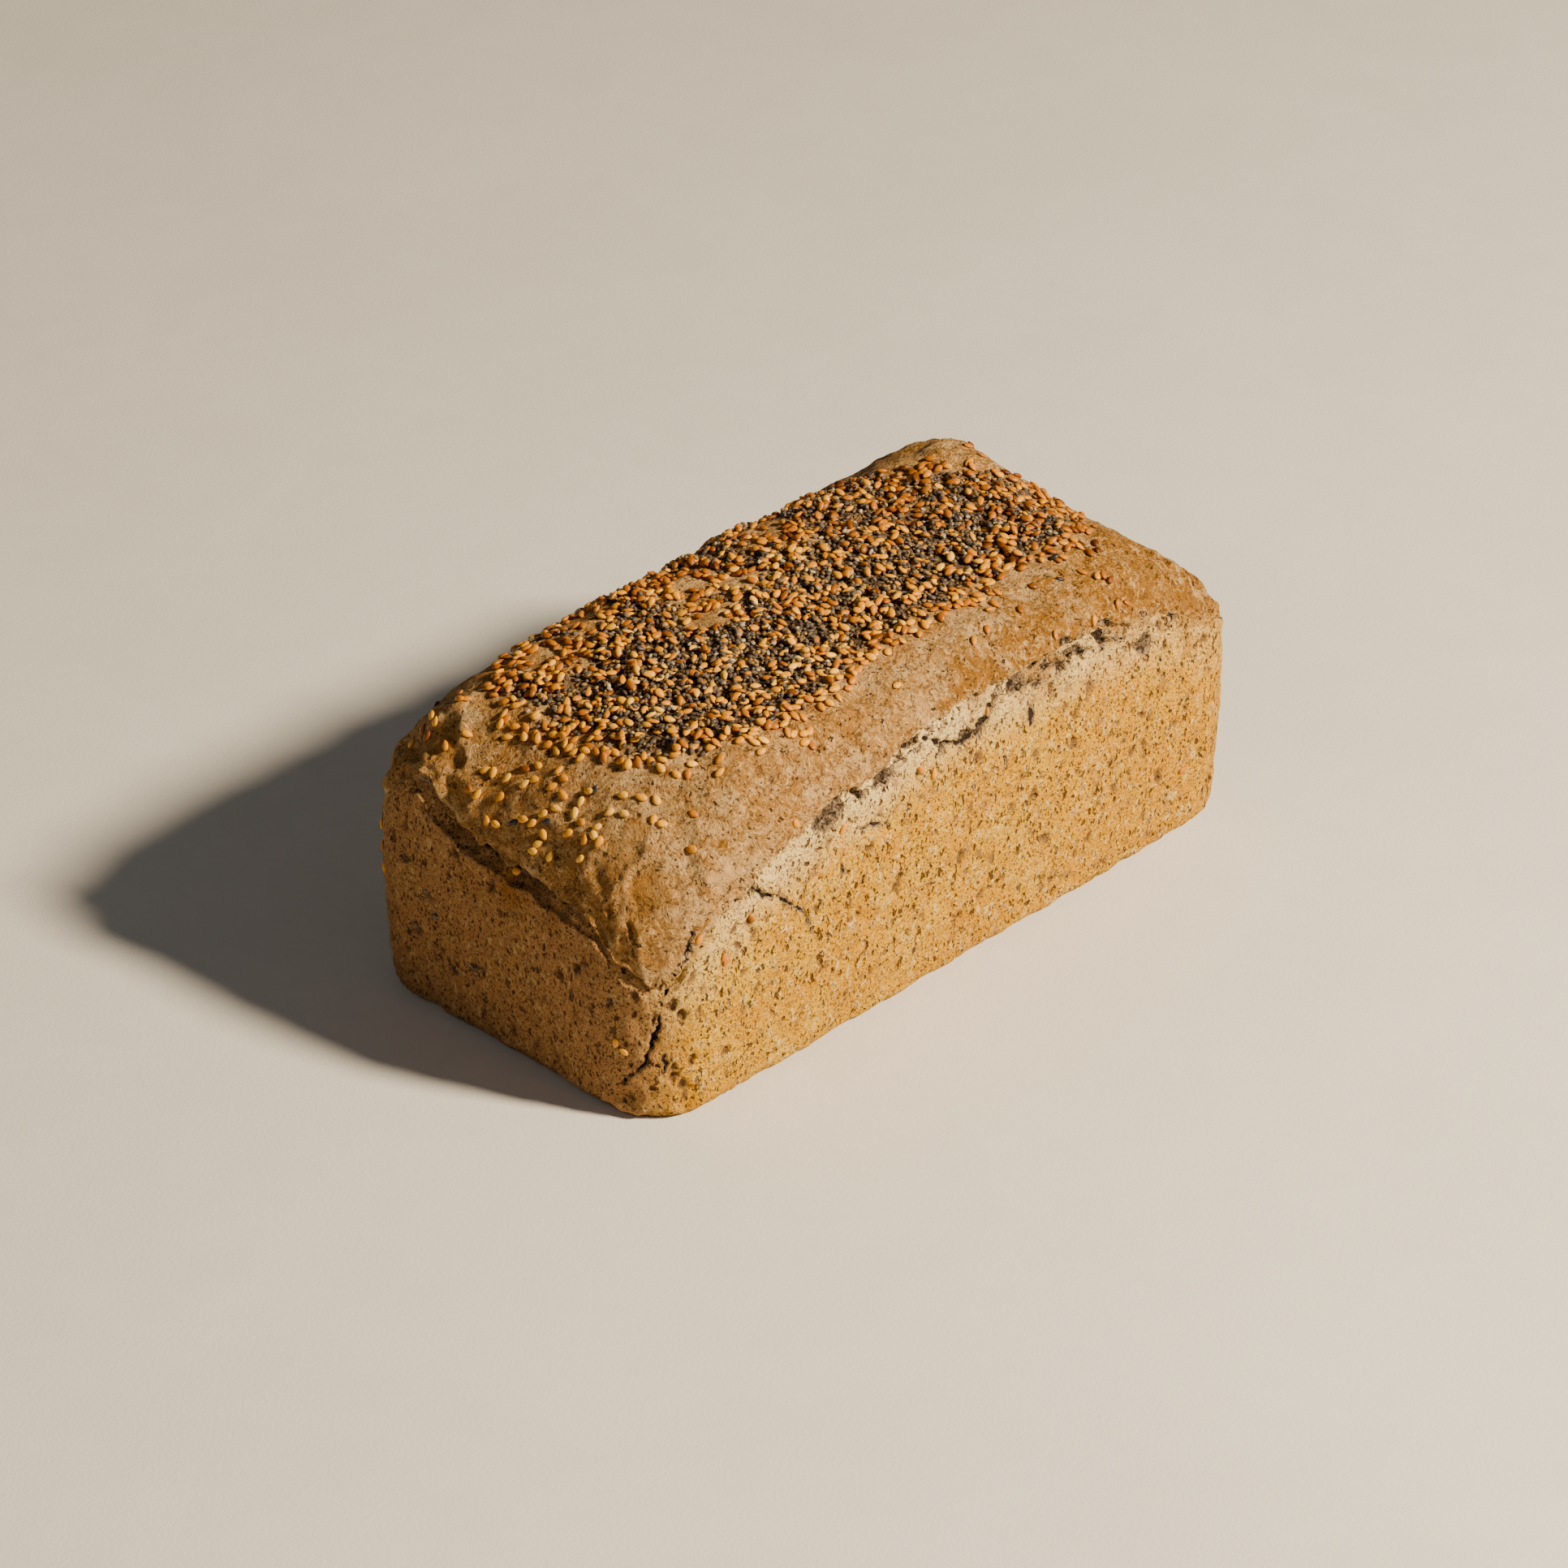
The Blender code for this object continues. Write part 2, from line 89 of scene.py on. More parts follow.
# The crust's lower edge: height above the floor, by place along each side
RIM_FRONT = (
    (-0.115, 0.048), (-0.106, 0.046), (-0.102, 0.053), (-0.097, 0.059), (-0.084, 0.062), (-0.078, 0.068),
    (-0.061, 0.0725), (-0.05, 0.077), (-0.036, 0.0775), (-0.025, 0.082), (0.0, 0.0855), (0.015, 0.0835),
    (0.031, 0.086), (0.053, 0.0835), (0.077, 0.0775), (0.098, 0.068), (0.115, 0.061),
)
RIM_NEAR = (
    (-0.057, 0.046), (-0.049, 0.045), (-0.043, 0.049), (-0.038, 0.055), (-0.028, 0.0592), (-0.015, 0.06),
    (0.0, 0.062), (0.016, 0.0645), (0.023, 0.068), (0.029, 0.073), (0.036, 0.07), (0.046, 0.062),
    (0.057, 0.058),
)
RIM_BACK = (
    (-0.115, 0.057), (-0.07, 0.056), (-0.02, 0.06), (0.03, 0.056), (0.075, 0.061), (0.115, 0.056),
)
RIM_FAR = ((-0.057, 0.062), (-0.02, 0.064), (0.02, 0.06), (0.057, 0.056))
LONG_SIDE_TURN = (0.55, 0.98)
END_TURN = (0.78, 1.0)
# How ragged the crust's edge is: height of the waves and their width, broad and fine
RIM_WAVES = (0.0012, 0.012)
RIM_CRUMBLE = ((0.0018, 0.0058), (0.0014, 0.0027))
SILL_CRUMBLE = ((0.002, 0.007), (0.0012, 0.0028))

# How far the crust's lip stands out over the tin's wall, or back from it where negative
LIP_FRONT = ((-0.115, 0.0008), (0.06, 0.0006), (0.09, -0.0014), (0.115, -0.0024))
LIP_NEAR = (
    (-0.057, 0.0004), (-0.045, -0.0002), (-0.03, -0.0009), (0.03, -0.0012), (0.045, -0.0006),
    (0.057, -0.0006),
)
LIP_BACK = ((0.0, 0.0002),)
LIP_FAR = ((0.0, -0.002),)

# The tear under the crust's edge: its depth by place
TEAR_FRONT = (
    (-0.115, 0.0012), (-0.097, 0.0016), (-0.08, 0.0007), (-0.055, 0.0016), (-0.034, 0.0008),
    (-0.018, 0.0022), (0.003, 0.0018), (0.014, 0.0009), (0.03, 0.0026), (0.048, 0.002), (0.07, 0.001),
    (0.115, 0.0006),
)
TEAR_NEAR = (
    (-0.057, 0.0014), (-0.047, 0.0026), (-0.036, 0.0018), (-0.022, 0.0028), (-0.005, 0.0038),
    (0.012, 0.006), (0.022, 0.0048), (0.03, 0.0018), (0.04, 0.0006), (0.057, 0.0005),
)
TEAR_BACK = ((-0.115, 0.0006), (-0.06, 0.0016), (0.01, 0.0008), (0.06, 0.0018), (0.115, 0.0008))
TEAR_FAR = ((-0.057, 0.0006), (-0.015, 0.0018), (0.025, 0.001), (0.057, 0.0008))
# Through the tear, from its sill at 0 to the crust's edge at 1: share of its height below
# the edge, share of its depth, and share of the lip's overhang
TEAR_DROP = (
    (0.0, 1.0), (0.1, 0.96), (0.3, 0.76), (0.45, 0.62), (0.65, 0.36), (0.78, 0.22), (0.86, 0.16),
    (1.0, 0.0),
)
TEAR_DEEP = (
    (0.0, 0.0), (0.1, 0.08), (0.3, 0.34), (0.45, 0.58), (0.6, 0.94), (0.74, 1.0), (0.81, 0.65),
    (0.87, 0.06), (0.93, 0.0), (1.0, 0.0),
)
# How dark the tear is at each share: torn crumb below, shade under the lip
TEAR_DARK = ((0.0, 0.0), (0.44, 0.08), (0.56, 0.38), (0.68, 1.0), (0.82, 1.0), (0.89, 0.0), (1.0, 0.0))
# Height of the strip of rough crumb under the crust's edge
TEAR_STRIP = (0.0075, 0.0025)
TEAR_STRIP_ROUGH = 0.8
# The wall turns to crust between these distances below the crust's edge
CRUST_TURN = (0.0004, -0.0004)
TEAR_OVER = (
    (0.0, 0.3), (0.3, 0.1), (0.45, 0.0), (0.65, 0.0), (0.78, 0.3), (0.86, 0.95), (0.93, 1.1), (1.0, 1.0),
)
# Share of the tear that stands open along the long side; elsewhere the crust lies close
TEAR_OPEN = (
    (-0.115, 1.0), (-0.1, 0.6), (-0.088, 0.15), (-0.03, 0.15), (-0.02, 0.55), (0.01, 0.35), (0.018, 1.0),
    (0.058, 1.0), (0.068, 0.35), (0.115, 0.25),
)
# How much the tear's depth varies, and over what width
TEAR_VARIES = ((0.9, 0.009), (0.6, 0.0032))
LEAST_TEAR = 0.15
# A tear this deep gets the full painted shade inside, and one between these depths has a ledge
# below it, from this share of the wall's height to this share of the tear's
DARK_TEAR = 0.0036
LEDGED_TEAR = (0.001, 0.003)
LEDGE = 0.0008
LEDGE_STARTS = 0.86
LEDGE_ENDS = 0.2
# Where the crust's edge crumbles: between these shares of the tear, and of the shoulder
CRUMBLES_BELOW = (0.6, 0.86)
CRUMBLES_ABOVE = (0.8, 1.0)
# The profiles of each side of the loaf: front, back, near and far
RIMS = (RIM_FRONT, RIM_BACK, RIM_NEAR, RIM_FAR)
TEARS = (TEAR_FRONT, TEAR_BACK, TEAR_NEAR, TEAR_FAR)
LIPS = (LIP_FRONT, LIP_BACK, LIP_NEAR, LIP_FAR)
SHOULDERS = (SHOULDER_FRONT, SHOULDER_BACK, SHOULDER_NEAR, SHOULDER_FAR)

# The surface's mesh: columns along and across, and rows up the base's curve, wall and tear
COLUMNS_LONG = 218
COLUMNS_WIDE = 112
BASE_ROWS = 5
PLAIN_ROWS = 51
TEAR_ROWS = 18
WALL_ROWS = BASE_ROWS + PLAIN_ROWS + TEAR_ROWS
EDGE_CROWDING = 0.12
# Past this height a point of the unit cube belongs to its top face
TOP_OF_CUBE = 0.9999

# Unevenness of the baked surface: height of each layer of noise and its width
DOME_LUMPS = ((0.0012, 0.03), (0.0012, 0.014))
WALL_LUMPS = ((0.0004, 0.04), (0.0003, 0.013))
CRUST_RELIEF = ((0.00085, 0.0075), (0.00048, 0.0032))
CRUMB_RELIEF = ((0.00036, 0.006), (0.00026, 0.0026))
TORN_RELIEF = ((0.00095, 0.0036), (0.0006, 0.0018))
# Wrinkles of the crust: depth, width, and places where they gather, as x, y, reach, strength
WRINKLES = (0.0015, 0.0105)
# Noise from 0 to the first is a fold's thin ridge, and beyond the others its broad hollow
WRINKLE_RIDGE = 0.13
WRINKLE_PALE = 0.58
WRINKLE_HOLLOW = (0.05, 0.3)
WRINKLE_STRETCH = (1.5, 0.85, 0.75)
# The floury lip of the near end: how far from the crust's edge it is, its width and strength
PALE_LIP = (0.0012, 0.0018, 0.85)
PALE_LIP_BROKEN = (-0.25, 0.3)
PALE_LIP_LENGTH = 0.0065
PALE_LIP_REACH = (-0.085, -0.105)
# A place this strongly wrinkled gets a finer mesh
WRINKLED_FINELY = 0.5
WRINKLED_PLACES = (
    (0.096, -0.046, 0.02, 1.05), (0.106, -0.02, 0.018, 0.6), (-0.108, -0.04, 0.012, 0.7),
    (-0.106, 0.028, 0.018, 0.7), (-0.088, -0.05, 0.014, 0.4), (0.05, -0.052, 0.016, 0.4),
)
WRINKLES_ELSEWHERE = 0.16
# How much a crease and a wrinkle's valley brown the crust
CREASE_FOLD = 0.7
VALLEY_FOLD = 0.55

# How far the edge of a crack or pocket strays from its smooth line, and over what width
JAGGED = ((0.0013, 0.0046), (0.0007, 0.0018))
# How steeply the sides of a crack, pocket and pore drop: the less, the steeper
STEEP_SIDES = 0.7
POCKET_FLOOR = 2.2
PORE_FLOOR = 1.6
# How torn a pocket and a cavity of the crumbling band look, where a crack is 1
POCKET_TORN = 0.75
CAVITY_TORN = 0.78
# How wide a crack's ends are, where its middle is 1
LINE_TIP = 0.35
Line = namedtuple("Line", "points half_width depth")
Spot = namedtuple("Spot", "x y z half_width half_height depth")

# Cracks of the walls, each along its points
CRACKS = (
    # Up from the corner along the crust's edge, over the long side and down it
    Line(((-0.1071, -0.0531, 0.044), (-0.1044, -0.0547, 0.0471), (-0.1025, -0.0556, 0.0501),
          (-0.1019, -0.0556, 0.0552), (-0.0985, -0.0565, 0.0593),
          (-0.0955, -0.057, 0.0615)), 0.0008, 0.0014),
    Line(((-0.0955, -0.057, 0.0615), (-0.0913, -0.057, 0.0624), (-0.085, -0.057, 0.0623),
          (-0.0802, -0.057, 0.0626), (-0.0746, -0.057, 0.0575), (-0.0672, -0.057, 0.0528),
          (-0.0603, -0.057, 0.045), (-0.0586, -0.057, 0.0392),
          (-0.0564, -0.057, 0.0349)), 0.0008, 0.0013),
    # Down the near corner, turning along the short end's base
    Line(((-0.1071, -0.0531, 0.045), (-0.1078, -0.0527, 0.0387), (-0.1088, -0.052, 0.0325),
          (-0.1098, -0.0508, 0.027), (-0.1113, -0.0485, 0.0197), (-0.1134, -0.0424, 0.0109),
          (-0.1141, -0.0376, 0.0079)), 0.0008, 0.0015),
    Line(((-0.1069, -0.0532, 0.024), (-0.1073, -0.0527, 0.02),
          (-0.1076, -0.0522, 0.016)), 0.0007, 0.0009),
    # The ragged ledge where the crust pulled away in the middle of the long side
    Line(((-0.018, -0.057, 0.08), (-0.0157, -0.057, 0.078), (-0.0089, -0.057, 0.0736),
          (-0.0008, -0.057, 0.0705), (0.0034, -0.057, 0.0717), (0.0074, -0.057, 0.0738),
          (0.0088, -0.057, 0.0775)), 0.001, 0.0016),
    Line(((0.077, -0.057, 0.069), (0.0764, -0.057, 0.065), (0.0765, -0.057, 0.0588)), 0.0006, 0.0009),
    Line(((-0.0427, -0.057, 0.0621), (-0.0365, -0.057, 0.0618),
          (-0.0297, -0.057, 0.059)), 0.0008, 0.0008),
    Line(((0.0146, -0.057, 0.0614), (0.014, -0.057, 0.059), (0.0131, -0.057, 0.0555)), 0.0009, 0.001),
    Line(((0.0244, -0.057, 0.0716), (0.0246, -0.057, 0.068), (0.0244, -0.057, 0.064)), 0.0012, 0.0007),
    Line(((0.0028, -0.057, 0.058), (0.0022, -0.057, 0.056), (0.0014, -0.057, 0.054)), 0.0006, 0.0008),
    Line(((-0.0476, -0.057, 0.0545), (-0.0465, -0.057, 0.052),
          (-0.0454, -0.057, 0.0485)), 0.0012, 0.0008),
)
# Folds and fissures of the crust itself
CREASES = (
    Line(((-0.1112, -0.0417, 0.0644), (-0.1117, -0.0441, 0.0604),
          (-0.1122, -0.0468, 0.052)), 0.0012, 0.0012),
    Line(((-0.1118, -0.0375, 0.066), (-0.114, -0.0377, 0.061),
          (-0.1146, -0.0391, 0.057)), 0.0011, 0.0009),
    Line(((-0.1005, 0.0222, 0.0838), (-0.0998, 0.0184, 0.0834),
          (-0.0991, 0.014, 0.0833)), 0.0006, 0.0006),
    Line(((-0.114, 0.033, 0.0752), (-0.115, 0.029, 0.0725), (-0.1151, 0.024, 0.068)), 0.0009, 0.0012),
    Line(((0.0769, -0.0456, 0.0886), (0.0754, -0.0496, 0.0864),
          (0.0745, -0.0551, 0.0801)), 0.0016, 0.0014),
    Line(((0.0797, -0.036, 0.0904), (0.0855, -0.0428, 0.0864),
          (0.0864, -0.0473, 0.0834)), 0.0015, 0.0012),
    Line(((0.0944, -0.0433, 0.081), (0.0912, -0.0497, 0.0785),
          (0.0904, -0.0536, 0.0741)), 0.0015, 0.0014),
    Line(((0.0259, -0.055, 0.0871), (0.0305, -0.0567, 0.0828)), 0.0008, 0.0006),
    Line(((0.006, -0.05, 0.091), (0.0085, -0.0545, 0.088), (0.0105, -0.0569, 0.0824)), 0.005, 0.0017),
    Line(((-0.042, -0.048, 0.09), (-0.038, -0.054, 0.085)), 0.005, 0.0012),
)
# Dents at the near corner's foot and on the walls
DENTS = (
    Spot(-0.1128, -0.043, 0.007, 0.0058, 0.004, 0.0014),
    Spot(-0.102, -0.055, 0.0075, 0.005, 0.0044, 0.0013),
    Spot(-0.0895, -0.0571, 0.0112, 0.0026, 0.0022, 0.001),
    Spot(-0.098, -0.057, 0.0167, 0.0022, 0.0026, 0.001),
    Spot(-0.0766, -0.0572, 0.0136, 0.0024, 0.0022, 0.001),
)
# Torn pockets of the walls
POCKETS = (
    Spot(-0.0524, -0.057, 0.0715, 0.0066, 0.0046, 0.0019),
    Spot(-0.031, -0.057, 0.0743, 0.0044, 0.0028, 0.0013),
    Spot(-0.0012, -0.057, 0.0722, 0.004, 0.0022, 0.0014),
    Spot(0.019, -0.057, 0.08, 0.0034, 0.003, 0.0018),
    Spot(0.0262, -0.057, 0.0767, 0.0026, 0.0017, 0.0012),
    Spot(0.03, -0.057, 0.0815, 0.0026, 0.002, 0.0016),
    Spot(0.0355, -0.057, 0.078, 0.0026, 0.0034, 0.002),
    Spot(0.0425, -0.057, 0.08, 0.0042, 0.0019, 0.002),
    Spot(0.0535, -0.057, 0.0775, 0.0032, 0.0026, 0.0026),
    Spot(0.0693, -0.057, 0.0703, 0.004, 0.0036, 0.0014),
    Spot(-0.1154, 0.0353, 0.047, 0.0011, 0.003, 0.0018),
    Spot(-0.1153, 0.0284, 0.0386, 0.0022, 0.0016, 0.0013),
    Spot(-0.115, 0.0254, 0.033, 0.0016, 0.0013, 0.0012),
    Spot(-0.1149, 0.0334, 0.0249, 0.0024, 0.0018, 0.0013),
    Spot(-0.1146, 0.0186, 0.0183, 0.0026, 0.0017, 0.0012),
    Spot(-0.1149, 0.0108, 0.023, 0.0019, 0.0017, 0.0012),
    Spot(-0.1151, -0.0398, 0.0352, 0.0009, 0.0026, 0.0014),
)
# The crumbling band of the long side, where the crust tore away: how far below the crust's edge
# its middle is and how torn it is, by place, then its half width, depth and cavities' width
BAND_DROP = (
    (-0.115, 0.004), (-0.03, 0.004), (-0.018, 0.005), (-0.004, 0.013), (0.008, 0.01), (0.016, 0.003),
    (0.06, 0.003), (0.115, 0.004),
)
BAND_TORN = (
    (-0.115, 0.0), (-0.065, 0.15), (-0.04, 0.5), (-0.02, 0.75), (0.0, 1.0), (0.05, 1.0), (0.075, 0.65),
    (0.092, 0.2), (0.115, 0.0),
)
BAND_HALF_WIDTH = 0.0034
BAND_DEPTH = 0.0015
BAND_CAVITIES = ((1.0, 0.0044), (0.5, 0.002))
BAND_TURN = (0.90, 0.98)
BAND_FINER = 0.15
BAND_MORE_CAVITIES = 0.35
BAND_CAVITY_EDGE = (0.36, 0.52)
BAND_EDGE = (0.1, 0.35)
# Open pores of the walls that are deep enough to be relief: how many, least and most half
# width, height over width, depth over half width, and how near the crust's edge they come
PORE_COUNT = 320
PORE_SIZES = (0.0007, 0.0018)
PORE_STRETCH = (0.9, 1.8)
PORE_DEPTH = 0.8
PORE_CLEAR_OF_RIM = 0.006
PORE_CLEAR_OF_BASE = 0.005
PORE_SHRINKS = (0.7, 1.0)
# The mesh is finer within this distance of a crack, pocket or pore
FINE_MARGIN = 0.0006
# The foot of the walls is ragged up to this height, by this much and over these widths
RAGGED_FOOT = (0.009, ((0.001, 0.008), (0.0007, 0.0032)))
RAGGED_FOOT_CUT = 0.0004
# The relief fades out from this height down to the floor, so that the base stays flat
BASE_FADE = 0.0012

# Browning of the crust: x, y, z, reach, strength
TOAST = (
    (0.094, -0.046, 0.082, 0.022, 1.0), (0.11, -0.02, 0.072, 0.018, 0.8),
    (0.062, -0.052, 0.086, 0.018, 0.7), (0.03, -0.055, 0.086, 0.015, 0.75),
    (0.004, -0.055, 0.086, 0.014, 0.5), (-0.083, -0.05, 0.074, 0.008, 0.55),
    (-0.109, 0.04, 0.07, 0.014, 0.45), (-0.098, -0.052, 0.056, 0.007, 0.45),
    (0.05, -0.038, 0.094, 0.018, 0.3), (-0.115, -0.004, 0.054, 0.01, 0.6),
    (-0.115, 0.01, 0.05, 0.008, 0.4), (0.085, 0.035, 0.094, 0.02, 0.25), (0.112, 0.03, 0.066, 0.02, 0.6),
    (0.0, 0.057, 0.06, 0.02, 0.5), (-0.06, 0.055, 0.062, 0.02, 0.4), (0.07, 0.057, 0.06, 0.02, 0.5),
    (-0.115, -0.02, 0.05, 0.008, 0.45), (-0.1145, -0.034, 0.046, 0.006, 0.4),
)
# The browned line along the crust's edge: its strength along the long side, how far from the
# edge it is brownest, and its width
BROWN_EDGE = ((-0.115, 0.05), (-0.06, 0.1), (-0.01, 0.4), (0.03, 0.75), (0.115, 0.95))
BROWN_EDGE_PLACE = 0.0022
BROWN_EDGE_WIDTH = 0.0034
# The pale crumb under the crust's edge: how far down it reaches, and its strength along the long
# side, on the short ends and on the hidden long side
PALE_REACH = (0.003, 0.024)
PALE_FRONT = ((-0.115, 0.1), (-0.095, 0.55), (-0.07, 0.9), (0.045, 1.0), (0.075, 0.55), (0.115, 0.15))
PALE_ENDS = 0.08
PALE_BACK = 0.6
NEAR_END = (0.90, 1.0)
LESS_PALE_NEAR = 0.8
# Painted shade: where the short ends turn brown, and how brown the hidden long side is where they are 1
SHADED_ENDS = (0.86, 0.99)
SHADED_BACK = 0.9
# How orange the tin side is baked, along the long side and on its lower part
BAKED_FRONT = ((-0.115, 0.0), (-0.06, 0.1), (0.01, 0.3), (0.07, 0.75), (0.115, 1.0))
BAKED_FOOT = (0.04, 0.01)
MORE_BAKED_FOOT = 0.25

# The seeded patch of the crown, seen from above
PATCH_FRONT = (
    (-0.096, 0.01), (-0.093, -0.018), (-0.08, -0.039), (-0.055, -0.0465), (-0.02, -0.042), (0.02, -0.038),
    (0.062, -0.036), (0.08, -0.027), (0.091, -0.01),
)
PATCH_BACK = (
    (-0.096, 0.018), (-0.085, 0.036), (-0.05, 0.046), (0.04, 0.044), (0.06, 0.03), (0.08, 0.011),
    (0.091, -0.006),
)
PATCH_ENDS = (-0.096, 0.091)
# How ragged the patch's border is, and over what width
PATCH_RAGGED = (0.0045, 0.011)
# Bare places in it, and places where the small dark seeds gather: x, y, reach
BARE_PLACES = (
    (-0.023, 0.023, 0.0036), (-0.016, 0.014, 0.0028), (-0.031, 0.006, 0.0022), (0.012, 0.026, 0.003),
    (-0.052, 0.034, 0.0034), (-0.071, 0.028, 0.0036),
)
DARK_PLACES = (
    (-0.037, -0.006, 0.022), (0.048, -0.014, 0.01), (-0.06, -0.008, 0.016), (-0.001, -0.004, 0.012),
    (0.019, -0.011, 0.013), (0.06, -0.018, 0.008), (-0.05, 0.025, 0.014), (0.02, 0.028, 0.009),
)
# The share of dark seeds elsewhere, and how far inside the patch they begin
DARK_LEAST = 0.36
DARK_BEGINS = (0.002, 0.011)
# Loose groups of sesame outside the patch: x, y, reach, how many
SEED_GROUPS = (
    (-0.1055, -0.0055, 0.006, 9), (-0.1014, -0.0183, 0.005, 10), (-0.1121, 0.0088, 0.005, 6),
    (-0.1113, -0.0054, 0.003, 4), (-0.1118, -0.014, 0.003, 6), (-0.1081, -0.0242, 0.004, 8),
    (-0.097, -0.0269, 0.005, 8), (-0.1093, 0.0141, 0.004, 4), (-0.1028, 0.0032, 0.005, 7),
    (-0.1, 0.033, 0.012, 9), (-0.092, -0.038, 0.006, 5), (0.03, -0.043, 0.025, 16),
    (0.068, -0.038, 0.012, 10), (-0.025, -0.048, 0.025, 4), (0.093, 0.0, 0.008, 8),
    (0.06, -0.046, 0.012, 4), (-0.105, 0.045, 0.01, 4), (0.085, 0.03, 0.02, 8),
)
# Sesame stuck to the walls: x, y, z
WALL_SEEDS = (
    (-0.099, -0.0566, 0.0559), (-0.0911, -0.0576, 0.0469), (-0.0902, -0.0576, 0.0452),
    (-0.0815, -0.0575, 0.0535), (-0.0471, -0.0574, 0.0654), (-0.0646, -0.0563, 0.0749),
    (-0.0183, -0.0574, 0.0702), (-0.0131, -0.0574, 0.0671), (0.0075, -0.0572, 0.0773),
    (-0.1146, -0.0413, 0.0241), (-0.1139, -0.0435, 0.022), (0.088, -0.0575, 0.0224),
    (-0.1112, 0.0492, 0.0419), (-0.11, 0.05, 0.048), (-0.112, 0.048, 0.036), (0.114, 0.02, 0.04),
    (0.03, 0.0572, 0.035), (-0.05, 0.0572, 0.045), (0.114, -0.025, 0.025),
)

# Each kind of seed: least and most length, width and thickness, pointedness, and the lengths'
# and rounds' number of faces
SeedKind = namedtuple("SeedKind", "lengths widths thicknesses tip rings spokes")
SESAME = SeedKind((0.0029, 0.0035), (0.002, 0.0024), (0.001, 0.0013), 0.52, 6, 8)
BLACK_SESAME = SeedKind((0.0028, 0.0033), (0.0016, 0.0019), (0.0008, 0.0011), 0.48, 6, 8)
SMALL_SEED = SeedKind((0.0014, 0.0019), (0.001, 0.0013), (0.0008, 0.001), 0.16, 5, 7)
RANDOM_SEED = 11
# Cells that the seeds' heap is measured in, and sample points along and across a seed
CELL = 0.0004
HEAP_MARGIN = 0.002
SEED_SAMPLES = (9, 7)
# How steeply a seed may lie on others, and how deep it sinks into the crust or the heap
SEED_MOST_SLOPE = 0.5
SINK_IN_CRUST = 0.22
SINK_IN_HEAP = 0.45
# Below this heap a seed lies on bare crust, and none lies where the crust drops by more than this
ON_BARE_CRUST = 0.0002
SEED_MOST_DROP = 0.009
# How far what sticks up most under a seed props it up
PROPPED_UP = 0.6
# No seeds lie lower than this, so no bed of seeds shows there
LOWEST_SEEDS = 0.07
# How high seeds heap up, in the patch's middle and at its border
HEAP_MIDDLE = 0.0017
HEAP_BORDER = 0.0006
HEAP_RISES = (0.003, 0.012)
# Where seeds are tried: this far past the patch's ends, and this far to each side
PATCH_MARGIN = 0.004
PATCH_HALF_WIDTH = 0.052
PATCH_EDGE = (-0.0015, 0.0010)
# Less sesame lies where the dark seeds gather, and it falls last, so that it lies on them
LESS_SESAME = 0.30
SESAME_LAST = 1.1
# The loose groups: when they fall, their spread over their reach, and their share of black sesame
AFTER_PATCH = 2.0
GROUP_SPREAD = 0.6
GROUP_HEAP = 0.0004
BLACK_IN_GROUPS = 0.05
# How toasted the sesame is: on the near slope, and how much more towards the far end, towards the
# back and at the patch's border, or less past the patch's near end; and how much it varies
SESAME_TONE = 0.37
TONE_FAR = 0.21
TONE_BACK = 0.16
TONE_BORDER = 0.14
TONE_SLOPE = 0.06
TONE_SPREAD = 0.19
WALL_SEED_TONES = (0.25, 0.6)
WALL_SEED_OUT = 0.2
# How much a seed's tip thins, where it narrows by 1
TIP_THINS = 0.4
# Decimals that tell a seed's points apart
SEED_ROUNDING = 6

# The camera: its place, how far it looks down, and its heading from +X towards +Y
CAMERA_PLACE = (-0.99993, -0.96716, 0.912)
CAMERA_PITCH = math.radians(32.3)
CAMERA_HEADING = math.radians(44.35)
SENSOR_WIDTH = 36.0
FOCAL_PIXELS = 7500.0
PICTURE_PIXELS = 1932.0
CLIP = (0.05, 20.0)

# The lights: place and size across of each, their colours, and what they point at
KEY_LIGHT = ((0.49, -1.28, 1.08), 0.24)
KEY_COLOUR = (1.0, 0.84, 0.6)
FILL_LIGHT = ((-1.2, 0.3, 0.9), 1.1)
FILL_COLOUR = (1.0, 0.96, 0.92)
ROOM_COLOUR = (1.0, 0.97, 0.94, 1.0)
LIGHTS_AIM = (0.0, 0.0, 0.04)

# Noise in the colours and the bump: cells a metre, detail, roughness and distortion
CRUST_BLOTCH = (150.0, 5.0, 0.65, 0.8)
CRUST_SKIN = (480.0, 6.0, 0.72, 1.2)
CRUST_GRAIN = (1500.0, 3.0, 0.65)
CRUMB_STREAKS = (460.0, 5.0, 0.66, 0.6)
CRUMB_GRAIN = (1250.0, 4.0, 0.72)
CRUMB_PATCHES = (190.0, 4.0, 0.65, 0.4)
CRUMB_CLOUDS = (240.0, 4.0, 0.65)
EDGE_WANDER = (300.0, 3.0, 0.7)
TORN_EDGE = (560.0, 3.0, 0.72)
TORN_ROUGH = (650.0, 3.0, 0.75)
SESAME_GRAIN = (2600.0, 3.0, 0.6)
SESAME_BUMPS = (1500.0, 3.0, 0.6)
BLACK_SESAME_BUMPS = (1800.0, 3.0, 0.6)
MARBLING = (2300.0, 4.0, 0.7, 1.5)
FLOOR_GRAIN = (900.0, 2.0, 0.5)
# Mottled tone: its broad and fine noise without their scale, how much finer the fine one is, and
# its share
MOTTLE_BROAD = (4.0, 0.62, 0.6)
MOTTLE_FINE = (4.0, 0.65)
MOTTLE_FINER = 5.3
MOTTLE_FINE_SHARE = 0.45
CRUST_MOTTLE = 38.0
CRUMB_MOTTLE = 60.0
TORN_MOTTLE = 330.0
